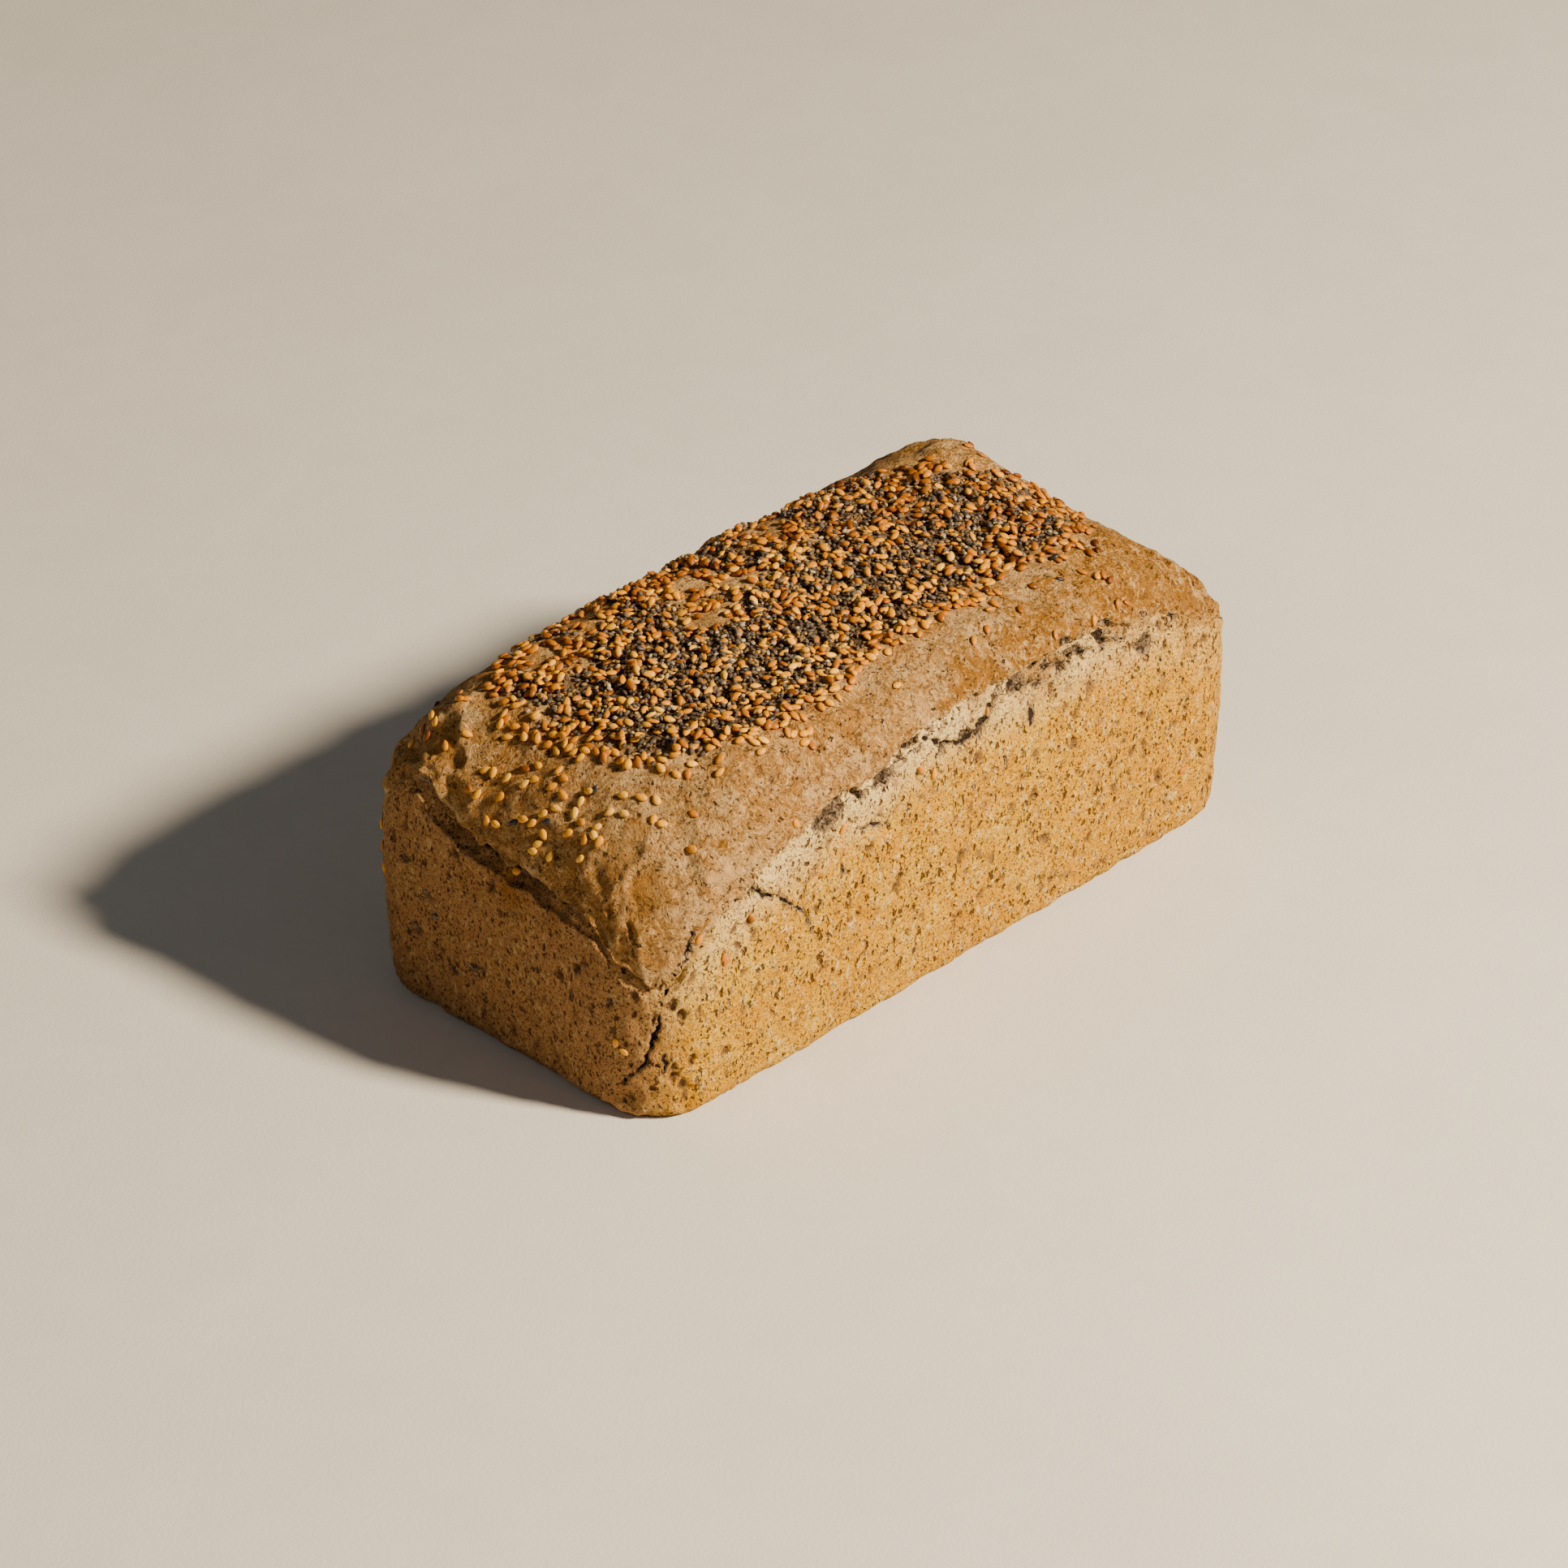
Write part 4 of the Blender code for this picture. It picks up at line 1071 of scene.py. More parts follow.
def seed_plan(draw, settings):
    """The seeds to drop, in order: kind, x, y and the highest heap it may lie on."""
    plan = []
    low, high = PATCH_ENDS[0] - PATCH_MARGIN, PATCH_ENDS[1] + PATCH_MARGIN
    for kind in ("sesame", "small", "black"):
        found, count = 0, getattr(settings, kind + "_count")
        while found < count:
            x, y = draw.uniform(low, high), draw.uniform(-PATCH_HALF_WIDTH, PATCH_HALF_WIDTH)
            depth = patch_depth(x, y)
            dark = dark_share(x, y)
            chance = dark
            if kind != "small":
                chance = smooth_step(*PATCH_EDGE, depth) * (1.0 - LESS_SESAME * dark)
            if draw.random() > chance:
                continue
            most = HEAP_BORDER + (HEAP_MIDDLE - HEAP_BORDER) * smooth_step(*HEAP_RISES, depth)
            order = draw.random() if kind == "small" else draw.uniform(0.0, SESAME_LAST)
            plan.append((order, kind, x, y, most))
            found += 1
    plan.sort()
    for x, y, reach, count in SEED_GROUPS:
        for _ in range(count):
            kind = "black" if draw.random() < BLACK_IN_GROUPS else "sesame"
            spread = reach * GROUP_SPREAD
            plan.append((AFTER_PATCH, kind, draw.gauss(x, spread), draw.gauss(y, spread), GROUP_HEAP))
    return plan


def stuck_seed(tree, spot, draw):
    """Matrix of a seed stuck flat to the wall near a spot."""
    place, normal, _, _ = tree.find_nearest(Vector(spot))
    size = drawn_size(draw, SESAME)
    turn = normal.to_track_quat("Z", "Y").to_matrix() @ Matrix.Rotation(draw.uniform(0.0, math.tau), 3, "Z")
    matrix = (turn @ Matrix.Diagonal(size)).to_4x4()
    matrix.translation = place + normal * size[2] * WALL_SEED_OUT
    return matrix


def scatter(mesh, form, settings):
    """Drops every seed onto the loaf. Gives the matrices and tones of each kind."""
    draw = random.Random(RANDOM_SEED)
    heap = Heap(mesh, form)
    kinds = {"sesame": SESAME, "small": SMALL_SEED, "black": BLACK_SESAME}
    found = {name: ([], []) for name in kinds}
    for _, name, x, y, most in seed_plan(draw, settings):
        tone = sesame_tone(draw, x, y) if name == "sesame" else draw.random()
        matrix = heap.drop(x, y, draw.uniform(0.0, math.tau), drawn_size(draw, kinds[name]), most)
        if matrix is not None:
            found[name][0].append(matrix)
            found[name][1].append(tone)
    for spot in WALL_SEEDS:
        found["sesame"][0].append(stuck_seed(heap.tree, spot, draw))
        found["sesame"][1].append(draw.uniform(*WALL_SEED_TONES))
    return found


class Look:
    """Adds nodes to a material's or a group's tree and joins them, so that a look reads in order."""

    def __init__(self, tree):
        self.tree = tree

    def feed(self, socket, value):
        if isinstance(value, bpy.types.NodeSocket):
            self.tree.links.new(value, socket)
        elif socket.type == "RGBA":
            socket.default_value = (*tuple(value)[:3], 1.0)
        else:
            socket.default_value = value

    def add(self, kind, inputs=None, **settings):
        node = self.tree.nodes.new(kind)
        node.location = (180 * (len(self.tree.nodes) % 12), -220 * (len(self.tree.nodes) // 12))
        for name, value in settings.items():
            setattr(node, name, value)
        for name, value in (inputs or {}).items():
            self.feed(node.inputs[name], value)
        return node

    def vector_math(self, operation, first, second):
        """Vector from two, or from one and a number where it is scaled."""
        other = "Scale" if operation == "SCALE" else 1
        return self.add("ShaderNodeVectorMath", {0: first, other: second}, operation=operation).outputs[0]

    def coordinates(self):
        return self.add("ShaderNodeTexCoord").outputs["Object"]

    def attribute(self, name):
        return self.add("ShaderNodeAttribute", attribute_name=name).outputs["Fac"]

    def noise(self, vector, scale, detail=3.0, roughness=0.55, distortion=0.0):
        inputs = {"Vector": vector, "Scale": scale, "Detail": detail, "Roughness": roughness}
        return self.add("ShaderNodeTexNoise", {**inputs, "Distortion": distortion}).outputs["Fac"]

    def cells(self, vector, scale, **settings):
        return self.add("ShaderNodeTexVoronoi", {"Vector": vector, "Scale": scale}, **settings).outputs

    def channels(self, colour):
        return self.add("ShaderNodeSeparateColor", {0: colour}).outputs

    def strayed(self, vector, scale, detail, reach):
        """The place moved about by noise, by up to half the reach each way."""
        noisy = self.add("ShaderNodeTexNoise", {"Vector": vector, "Scale": scale, "Detail": detail})
        centred = self.vector_math("SUBTRACT", noisy.outputs["Color"], (0.5, 0.5, 0.5))
        return self.vector_math("ADD", vector, self.vector_math("SCALE", centred, reach))

    def swing(self, value, amount):
        """A noise from 0 to 1 as a swing either side of nought."""
        return self.calc("MULTIPLY", self.calc("SUBTRACT", value, 0.5), amount)

    def calc(self, operation, first, second=0.0, third=None):
        node = self.add("ShaderNodeMath", {0: first, 1: second}, operation=operation)
        if third is not None:
            self.feed(node.inputs[2], third)
        return node.outputs["Value"]

    def remap(self, value, low, high, to_low=0.0, to_high=1.0):
        inputs = {"Value": value, "From Min": low, "From Max": high, "To Min": to_low, "To Max": to_high}
        return self.add("ShaderNodeMapRange", inputs, interpolation_type="SMOOTHSTEP").outputs["Result"]

    def blend(self, factor, first, second):
        """Colour from first to second by a factor from 0 to 1."""
        node = self.add("ShaderNodeMix", {0: factor, 6: first, 7: second}, data_type="RGBA")
        return node.outputs[2]

    def tint(self, colour, layers, given):
        """The colour with layers on it in turn, each a mask, its strength and its colour's name."""
        for mask, strength, name in layers:
            colour = self.blend(self.calc("MULTIPLY", mask, strength), colour, given[name])
        return colour

    def pile(self, *layers):
        """Sum of values, each times its weight."""
        total = 0.0
        for value, weight in layers:
            total = self.calc("MULTIPLY_ADD", value, weight, total)
        return total

    def ramp(self, factor, stops, interpolation="LINEAR"):
        """Colour by a factor, through stops given as (place, colour)."""
        node = self.add("ShaderNodeValToRGB", {"Fac": factor})
        node.color_ramp.interpolation = interpolation
        elements = node.color_ramp.elements
        elements.remove(elements[1])
        elements[0].color = (*stops[0][1], 1.0)
        for place, colour in stops[1:]:
            elements.new(place).color = (*colour, 1.0)
        return node.outputs["Color"]

    def level(self, factor, first, second):
        """Value from first to second by a factor from 0 to 1."""
        node = self.add("ShaderNodeMix", {0: factor, 2: first, 3: second}, data_type="FLOAT")
        return node.outputs[0]

    def group(self, tree, **inputs):
        node = self.add("ShaderNodeGroup", node_tree=tree)
        for name, value in inputs.items():
            self.feed(node.inputs[name.capitalize()], value)
        return node

    def pores(self, vector, layer):
        """Mask of a layer of pores, given as cells a metre, size in its cell, and share of cells."""
        scale, size, share = layer
        return self.group(pores_group(), vector=vector, scale=scale, size=size, share=share).outputs["Mask"]


SOCKETS = {"value": "NodeSocketFloat", "colour": "NodeSocketColor", "vector": "NodeSocketVector"}


def node_group(name, inputs, outputs, fill):
    """The shader node group of that name, built by fill(look, inputs, outputs) when first asked for.
    Its sockets are given as the names of each kind."""
    if name in bpy.data.node_groups:
        return bpy.data.node_groups[name]
    tree = bpy.data.node_groups.new(name, "ShaderNodeTree")
    for in_out, sockets in (("INPUT", inputs), ("OUTPUT", outputs)):
        for kind, names in sockets.items():
            for socket in names.split():
                tree.interface.new_socket(socket, in_out=in_out, socket_type=SOCKETS[kind])
    look = Look(tree)
    given = look.add("NodeGroupInput").outputs
    fill(look, given, look.add("NodeGroupOutput").inputs)
    return tree


def pores_group():
    """Scattered pores or specks with uneven edges: a share of all cells holds one."""

    def fill(look, given, out):
        scale = given["Scale"]
        place = look.strayed(
            given["Vector"], look.calc("MULTIPLY", scale, PORE_STRAY_SCALE), 1.0,
            look.calc("DIVIDE", PORE_STRAY, scale))
        cells = look.cells(place, scale)
        chance = look.channels(cells["Color"])
        chosen = look.calc("LESS_THAN", chance[0], given["Share"])
        uneven = look.calc("MULTIPLY_ADD", chance[1], 1.0 - PORE_LEAST, PORE_LEAST)
        size = look.calc("MULTIPLY", given["Size"], uneven)
        bowl = look.remap(cells["Distance"], look.calc("MULTIPLY", size, PORE_FLAT), size, 1.0, 0.0)
        look.feed(out["Mask"], look.calc("MULTIPLY", bowl, chosen))

    inputs = {"vector": "Vector", "value": "Scale Size Share"}
    return node_group("scattered_pores", inputs, {"value": "Mask"}, fill)


def mottle_group():
    """Uneven colour: broad patches and fine grain turn one colour into another."""

    def fill(look, given, out):
        broad = look.noise(given["Vector"], given["Scale"], *MOTTLE_BROAD)
        fine = look.noise(given["Vector"], look.calc("MULTIPLY", given["Scale"], MOTTLE_FINER), *MOTTLE_FINE)
        mask = look.remap(look.pile((broad, 1.0 - MOTTLE_FINE_SHARE), (fine, MOTTLE_FINE_SHARE)), 0.40, 0.60)
        look.feed(out["Color"], look.blend(mask, given["First"], given["Second"]))
        look.feed(out["Mask"], mask)

    inputs = {"vector": "Vector", "value": "Scale", "colour": "First Second"}
    return node_group("mottled_tone", inputs, {"colour": "Color", "value": "Mask"}, fill)


def threads_group():
    """Short pale threads of flour and husk, thin and curled."""

    def fill(look, given, out):
        scale = given["Scale"]
        place = look.strayed(given["Vector"], scale, 3.0, look.calc("DIVIDE", THREAD_CURL, scale))
        edges = look.cells(place, scale, feature="DISTANCE_TO_EDGE")
        thin = look.remap(edges["Distance"], 0.0, THREAD_WIDTH, 1.0, 0.0)
        broken = look.noise(given["Vector"], look.calc("MULTIPLY", scale, THREAD_BREAKS), 2.0)
        look.feed(out["Mask"], look.calc("MULTIPLY", thin, look.remap(broken, 0.50, 0.60)))

    inputs = {"vector": "Vector", "value": "Scale"}
    return node_group("floury_threads", inputs, {"value": "Mask"}, fill)


def seed_bed_group():
    """The lower seeds of the patch, seen between the upper ones: small rounds of several tones, with painted
    shade in the gaps between them.
    """

    def fill(look, given, out):
        cells = look.cells(given["Vector"], SEED_BED_SCALE)
        tone = look.channels(cells["Color"])
        colour = look.blend(look.remap(tone[0], 0.35, 0.60), given["Dark"], given["Middle"])
        gap = look.remap(cells["Distance"], 0.30, 0.60)
        # The gaps between the rounds get painted shade
        layers = ((look.remap(tone[1], 0.80, 0.90), 1.0, "Light"), (gap, 0.85, "Dark"))
        look.feed(out["Color"], look.tint(colour, layers, given))
        look.feed(out["Height"], look.calc("SUBTRACT", 1.0, gap))

    inputs = {"vector": "Vector", "colour": "Dark Middle Light"}
    return node_group("seed_bed", inputs, {"colour": "Color", "value": "Height"}, fill)


def crust_group():
    """The floury baked crust, browner where toasted; under the seeds, a bed of lower seeds with painted shade
    between them.
    """

    def fill(look, given, out):
        vector = given["Vector"]
        mottled = look.group(
            mottle_group(), vector=vector, scale=CRUST_MOTTLE, first=given["Flour"], second=given["Brown"])
        layers = (CRUST_BLOTCH, CRUST_SKIN, CRUST_GRAIN)
        blotch, skin, grain = (look.noise(vector, *layer) for layer in layers)
        browned = look.calc("ADD", given["Toast"], look.swing(blotch, 1.3))
        threads = look.group(threads_group(), vector=vector, scale=THREAD_SCALE).outputs["Mask"]
        fold = look.calc("ADD", look.swing(skin, 2.2), given["Wrinkled"])
        coarse, specks = (look.pores(vector, layer) for layer in (CRUST_PORES, CRUST_SPECKS))
        layers = (
            # Painted shade: the crust of the short ends and the hidden long side is browner
            (given["End"], 0.70, "Brown"),
            (look.remap(blotch, 0.46, 0.58), 0.75, "Brown"),
            (look.remap(browned, 0.22, 0.62), 0.92, "Toasted"),
            (look.remap(skin, 0.53, 0.60), 0.65, "Pale"),
            (look.remap(skin, 0.47, 0.39), 0.75, "Husk"),
            (threads, 0.70, "Pale"),
            (look.remap(fold, 0.25, 0.75), 0.80, "Toasted"),
            (look.remap(fold, 0.60, 1.10), 0.45, "Husk"),
            (look.remap(fold, -0.25, -0.85), 0.80, "Pale"),
            (look.calc("MAXIMUM", coarse, specks), 0.95, "Husk"),
        )
        colour = look.tint(mottled.outputs["Color"], layers, given)
        bed = look.group(
            seed_bed_group(), vector=vector, dark=given["Shadow"], middle=given["Bed"], light=given["Flour"])
        hidden = look.remap(look.calc("MULTIPLY_ADD", blotch, 0.3, given["Seeded"]), 0.30, 0.60)
        height = look.pile((skin, 0.60), (grain, 0.30), (blotch, 1.6), (coarse, -0.7))
        look.feed(out["Color"], look.blend(hidden, colour, bed.outputs["Color"]))
        look.feed(out["Height"], look.level(hidden, height, bed.outputs["Height"]))

    inputs = {
        "vector": "Vector",
        "value": "Toast Seeded Wrinkled End",
        "colour": "Flour Brown Pale Toasted Husk Shadow Bed",
    }
    return node_group("baked_crust_look", inputs, {"colour": "Color", "value": "Height"}, fill)


def crumb_group():
    """The tin side's golden crumb: open pores, dark specks, and pale crumb under the crust's edge."""

    def fill(look, given, out):
        vector, end, pored = given["Vector"], given["End"], given["Pored"]
        tall = look.add("ShaderNodeMapping", {"Vector": vector, "Scale": CRUMB_STRETCH}).outputs["Vector"]
        mottled = look.group(
            mottle_group(), vector=vector, scale=CRUMB_MOTTLE, first=given["Gold"], second=given["Amber"])
        streaks = look.noise(tall, *CRUMB_STREAKS)
        layers = (CRUMB_GRAIN, CRUMB_PATCHES, CRUMB_CLOUDS)
        grain, patches, clouds = (look.noise(vector, *layer) for layer in layers)
        orange = look.calc("MULTIPLY", look.remap(patches, 0.34, 0.56), given["Baked"])
        cream = look.calc("MULTIPLY", given["Paleness"], look.remap(patches, 0.72, 0.45, 0.70, 1.0))
        burnt = look.remap(look.calc("ADD", given["Toast"], look.swing(patches, 0.9)), 0.15, 0.70)
        wide, middling, small = (look.pores(tall, layer) for layer in CRUMB_PORES)
        sunken = look.calc("MULTIPLY", look.calc("MULTIPLY", wide, end), look.remap(grain, 0.38, 0.55))
        layers = (
            # Painted shade: the short ends and the hidden long side are browner
            (end, 0.85, "Brown"),
            (orange, look.level(end, 1.0, 0.25), "Amber"),
            (cream, 1.0, "Pale"),
            (look.remap(streaks, 0.52, 0.64), look.level(end, 0.60, 0.26), "Pale"),
            (burnt, 0.80, "Toasted"),
            (look.remap(clouds, 0.56, 0.67), 0.62, "Grey"),
            (look.remap(grain, 0.49, 0.37), 0.85, "Pore"),
            (wide, 0.70, "Grey"),
            (sunken, 0.75, "Pore"),
            (middling, 0.90, "Pore"),
            (small, 0.90, "Pore"),
            (look.pores(vector, CRUMB_SPECKS), 0.75, "Pore"),
            (pored, 0.85, "Grey"),
            (look.calc("MULTIPLY", pored, look.remap(grain, 0.40, 0.60)), 0.60, "Pore"),
        )
        look.feed(out["Color"], look.tint(mottled.outputs["Color"], layers, given))
        look.feed(out["Height"], look.pile(
            (streaks, 0.80), (grain, 0.55), (patches, 1.0), (wide, -0.9), (middling, -1.0), (small, -0.6)))

    inputs = {
        "vector": "Vector",
        "value": "Paleness Baked Toast Pored End",
        "colour": "Gold Amber Brown Pale Grey Pore Toasted",
    }
    return node_group("tin_side_crumb_look", inputs, {"colour": "Color", "value": "Height"}, fill)


def new_material(name, roughness, specular):
    """A material with its shader's constants set. Gives it with a Look on its tree and the shader."""
    material = bpy.data.materials.new(name)
    material.use_nodes = True
    shader = material.node_tree.nodes["Principled BSDF"]
    shader.inputs["Roughness"].default_value = roughness
    shader.inputs["Metallic"].default_value = 0.0
    shader.inputs["Specular IOR Level"].default_value = specular
    return material, Look(material.node_tree), shader


def add_bump(look, shader, height, distance):
    bump = look.add("ShaderNodeBump", {"Height": height, "Distance": distance, "Strength": 1.0})
    look.feed(shader.inputs["Normal"], bump.outputs["Normal"])


def loaf_material(colours):
    material, look, shader = new_material("baked_loaf", 0.90, 0.20)
    vector = look.coordinates()
    names = ("toast", "baked", "torn", "seeded", "wrinkled", "end", "pale", "pored")
    toast, baked, torn_share, seeded, wrinkled, end, pale, pored = (look.attribute(name) for name in names)
    wander = look.swing(look.noise(vector, *EDGE_WANDER), EDGE_WANDER_REACH)
    on_crust = look.remap(look.calc("ADD", look.attribute("below_rim"), wander), *CRUST_BEGINS)
    torn_edge = look.swing(look.noise(vector, *TORN_EDGE), 1.1)
    torn = look.remap(look.calc("ADD", torn_share, torn_edge), 0.20, 0.48)
    # Painted shade: the deepest places of the tear and the middles of the cracks and pockets turn dark
    deep = look.remap(look.calc("MULTIPLY_ADD", torn_edge, 0.5, torn_share), 0.60, 0.84)
    crust = look.group(
        crust_group(), vector=vector, toast=look.calc("MULTIPLY_ADD", baked, 0.22, toast), seeded=seeded,
        wrinkled=wrinkled, end=end, flour=colours.crust_flour, brown=colours.crust_brown,
        pale=colours.crust_pale, toasted=colours.crust_toasted, husk=colours.husk,
        shadow=colours.under_seeds, bed=colours.seed_bed).outputs
    crumb = look.group(
        crumb_group(), vector=vector, paleness=pale, baked=baked, toast=toast, pored=pored, end=end,
        gold=colours.crumb_gold, amber=colours.crumb_amber, brown=colours.crumb_shaded_brown,
        pale=colours.crumb_pale, grey=colours.crumb_grey, pore=colours.pore,
        toasted=colours.crumb_toasted).outputs
    ripped = look.group(
        mottle_group(), vector=vector, scale=TORN_MOTTLE, first=colours.torn, second=colours.torn_pale)
    ripped_colour = look.blend(look.calc("MULTIPLY", deep, 0.95), ripped.outputs["Color"], colours.painted_tear_shade)
    colour = look.blend(on_crust, crumb["Color"], crust["Color"])
    height = look.level(on_crust, crumb["Height"], crust["Height"])
    rough = look.calc("MULTIPLY", look.noise(vector, *TORN_ROUGH), 2.0)
    look.feed(shader.inputs["Base Color"], look.blend(torn, colour, ripped_colour))
    look.feed(shader.inputs["Roughness"], look.level(on_crust, 0.96, 0.80))
    add_bump(look, shader, look.level(torn, height, rough), LOAF_BUMP)
    return material


def sesame_material(colours):
    material, look, shader = new_material("toasted_sesame", 0.33, 0.30)
    vector = look.coordinates()
    grain = look.noise(vector, *SESAME_GRAIN)
    stops = (
        (0.0, colours.sesame_pale), (0.30, colours.sesame_gold), (0.56, colours.sesame_orange),
        (0.80, colours.sesame_toasted), (1.0, colours.sesame_dark),
    )
    colour = look.ramp(look.calc("ADD", look.attribute("tone"), look.swing(grain, 0.35)), stops)
    tip = look.calc("MULTIPLY", look.remap(look.attribute("tipward"), 0.78, 1.0), 0.35)
    look.feed(shader.inputs["Base Color"], look.blend(tip, colour, colours.sesame_toasted))
    look.feed(shader.inputs["Roughness"], look.remap(grain, 0.3, 0.7, 0.30, 0.46))
    add_bump(look, shader, look.noise(vector, *SESAME_BUMPS), 0.00012)
    return material


def black_sesame_material(colours):
    material, look, shader = new_material("black_sesame", 0.42, 0.5)
    vector = look.coordinates()
    tone = look.group(
        mottle_group(), vector=vector, scale=900.0, first=colours.black_seed, second=colours.black_seed_sheen)
    look.feed(shader.inputs["Base Color"], tone.outputs["Color"])
    look.feed(shader.inputs["Roughness"], look.remap(tone.outputs["Mask"], 0.0, 1.0, 0.36, 0.5))
    add_bump(look, shader, look.noise(vector, *BLACK_SESAME_BUMPS), 0.00010)
    return material


def small_seed_material(colours):
    material, look, shader = new_material("mottled_small_seed", 0.34, 0.5)
    stops = (
        (0.0, colours.small_dark), (0.42, colours.small_grey), (0.66, colours.small_olive),
        (0.80, colours.small_tan), (0.93, colours.small_pale),
    )
    colour = look.ramp(look.attribute("tone"), stops, "CONSTANT")
    marbling = look.remap(look.noise(look.coordinates(), *MARBLING), 0.42, 0.60)
    veins = look.calc("MULTIPLY", marbling, 0.55)
    look.feed(shader.inputs["Base Color"], look.blend(veins, colour, colours.small_vein))
    look.feed(shader.inputs["Roughness"], look.remap(marbling, 0.0, 1.0, 0.30, 0.48))
    add_bump(look, shader, marbling, 0.00006)
    return material


def floor_material(colours):
    material, look, shader = new_material("pale_floor", 0.75, 0.3)
    vector = look.coordinates()
    soft = tuple(0.96 * channel for channel in colours.floor)
    tone = look.group(mottle_group(), vector=vector, scale=9.0, first=colours.floor, second=soft)
    look.feed(shader.inputs["Base Color"], tone.outputs["Color"])
    add_bump(look, shader, look.noise(vector, *FLOOR_GRAIN), 0.00008)
    return material


def add_piece(name, mesh, material):
    """Puts a finished mesh in the scene as a piece of the loaf that rides with its solid."""
    mesh.materials.append(material)
    piece = bpy.data.objects.new(name, mesh)
    bpy.context.scene.collection.objects.link(piece)
    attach(piece, BODY)
    return piece


def solid_shift(mesh):
    """Sideways shift that puts the mesh's middle over the solid's."""
    places = np.array([vert.co for vert in mesh.vertices])
    low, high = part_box(SOLID)
    middle = (places.min(0) + places.max(0)) / 2
    return Matrix.Translation(((low.x + high.x) / 2 - middle[0], (low.y + high.y) / 2 - middle[1], 0.0))


def colour_property(name, default, description):
    return bpy.props.FloatVectorProperty(
        name=name, description=description, default=default, subtype="COLOR", size=3, min=0.0, max=1.0)


def length_property(name, default, description):
    return bpy.props.FloatProperty(
        name=name, description=description, default=default, unit="LENGTH", precision=4, min=0.0)


class LoafSizes(bpy.types.PropertyGroup):
    """Sizes of the tin that the loaf was baked in, and of the tear under its crust."""

    length: length_property("Length", 0.230, "Length of the loaf at the crust's edge")
    width: length_property("Width", 0.114, "Width of the loaf at the crust's edge")
    corner_radius: length_property("Corner radius", 0.021, "Radius of the tin's upright corners")
    base_radius: length_property("Base radius", 0.004, "Radius round the edge of the base")
    taper: length_property("Taper", 0.0012, "How far the wall leans in from the crust's edge to the base")
    belly: length_property("Belly", 0.0010, "How far the wall swells out half way up")
    tear_height: length_property("Tear height", 0.0050, "Height of the tear under the crust's edge")


class LoafColours(bpy.types.PropertyGroup):
    """Colours of the crust, the tin side and the seeds."""

    crust_flour: colour_property("Floury crust", (0.56, 0.34, 0.135), "Crust where flour dulls it")
    crust_brown: colour_property("Brown crust", (0.38, 0.17, 0.03), "Crust where it is baked golden brown")
    crust_pale: colour_property("Pale threads", (0.72, 0.47, 0.21), "Floury threads on the crust")
    crust_toasted: colour_property("Toasted crust", (0.3, 0.12, 0.004), "Crust where it is baked most")
    husk: colour_property("Husk", (0.065, 0.028, 0.008), "Dark husk specks and hollows of the crust")
    under_seeds: colour_property("Under the seeds", (0.06, 0.038, 0.022), "Shade between the lower seeds")
    seed_bed: colour_property("Lower seeds", (0.21, 0.105, 0.03), "Small seeds seen between the upper ones")
    crumb_gold: colour_property("Golden side", (0.78, 0.43, 0.024), "Tin side where it is golden")
    crumb_amber: colour_property("Amber side", (0.68, 0.31, 0.003), "Tin side where it is baked more")
    crumb_pale: colour_property("Pale side", (0.95, 0.7, 0.3), "Pale crumb under the crust's edge")
    # Painted shade for the short ends and the hidden long side
    crumb_shaded_brown: colour_property("Brown ends", (0.42, 0.205, 0.085), "Tin side of the short ends")
    crumb_toasted: colour_property("Toasted side", (0.32, 0.12, 0.008), "Torn crumb that browned")
    crumb_grey: colour_property("Grey pores", (0.25, 0.135, 0.06), "Wide shallow pores and grey patches")
    pore: colour_property("Pores", (0.075, 0.024, 0.006), "Small dark pores")
    torn: colour_property("Torn crumb", (0.27, 0.165, 0.085), "Torn crumb in cracks and pockets")
    torn_pale: colour_property("Torn crumb, pale", (0.5, 0.335, 0.19), "Torn crumb where it is palest")
    # Painted shade in the deepest places of the tear and the middles of the cracks and pockets
    painted_tear_shade: colour_property("Deep tear", (0.012, 0.005, 0.003), "Deepest places of the tear")
    sesame_pale: colour_property("Pale sesame", (0.82, 0.46, 0.055), "Least toasted sesame")
    sesame_gold: colour_property("Golden sesame", (0.7, 0.306, 0.002), "Golden sesame")
    sesame_orange: colour_property("Orange sesame", (0.46, 0.147, 0.001), "Sesame toasted orange")
    sesame_toasted: colour_property("Toasted sesame", (0.21, 0.06, 0.001), "Sesame toasted brown")
    sesame_dark: colour_property("Dark sesame", (0.08, 0.02, 0.001), "Most toasted sesame")
    black_seed: colour_property("Black sesame", (0.012, 0.011, 0.013), "Black sesame")
    black_seed_sheen: colour_property("Black sesame, worn", (0.03, 0.027, 0.03), "Worn black sesame")
    small_dark: colour_property("Small dark seeds", (0.082, 0.058, 0.04), "Darkest small seeds")
    small_grey: colour_property("Small grey seeds", (0.17, 0.125, 0.085), "Grey small seeds")
    small_olive: colour_property("Small olive seeds", (0.28, 0.155, 0.035), "Olive brown small seeds")
    small_tan: colour_property("Small tan seeds", (0.5, 0.27, 0.05), "Tan small seeds")
    small_pale: colour_property("Small pale seeds", (0.62, 0.48, 0.31), "Palest small seeds")
    small_vein: colour_property("Small seeds' veins", (0.07, 0.05, 0.036), "Marbling on the small seeds")
    floor: colour_property("Floor", (0.69, 0.66, 0.615), "Pale floor that the loaf stands on")


def count_property(name, default, description):
    return bpy.props.IntProperty(name=name, description=description, default=default, min=0)


def light_property(name, default, description, unit="POWER"):
    return bpy.props.FloatProperty(name=name, description=description, default=default, min=0.0, unit=unit)


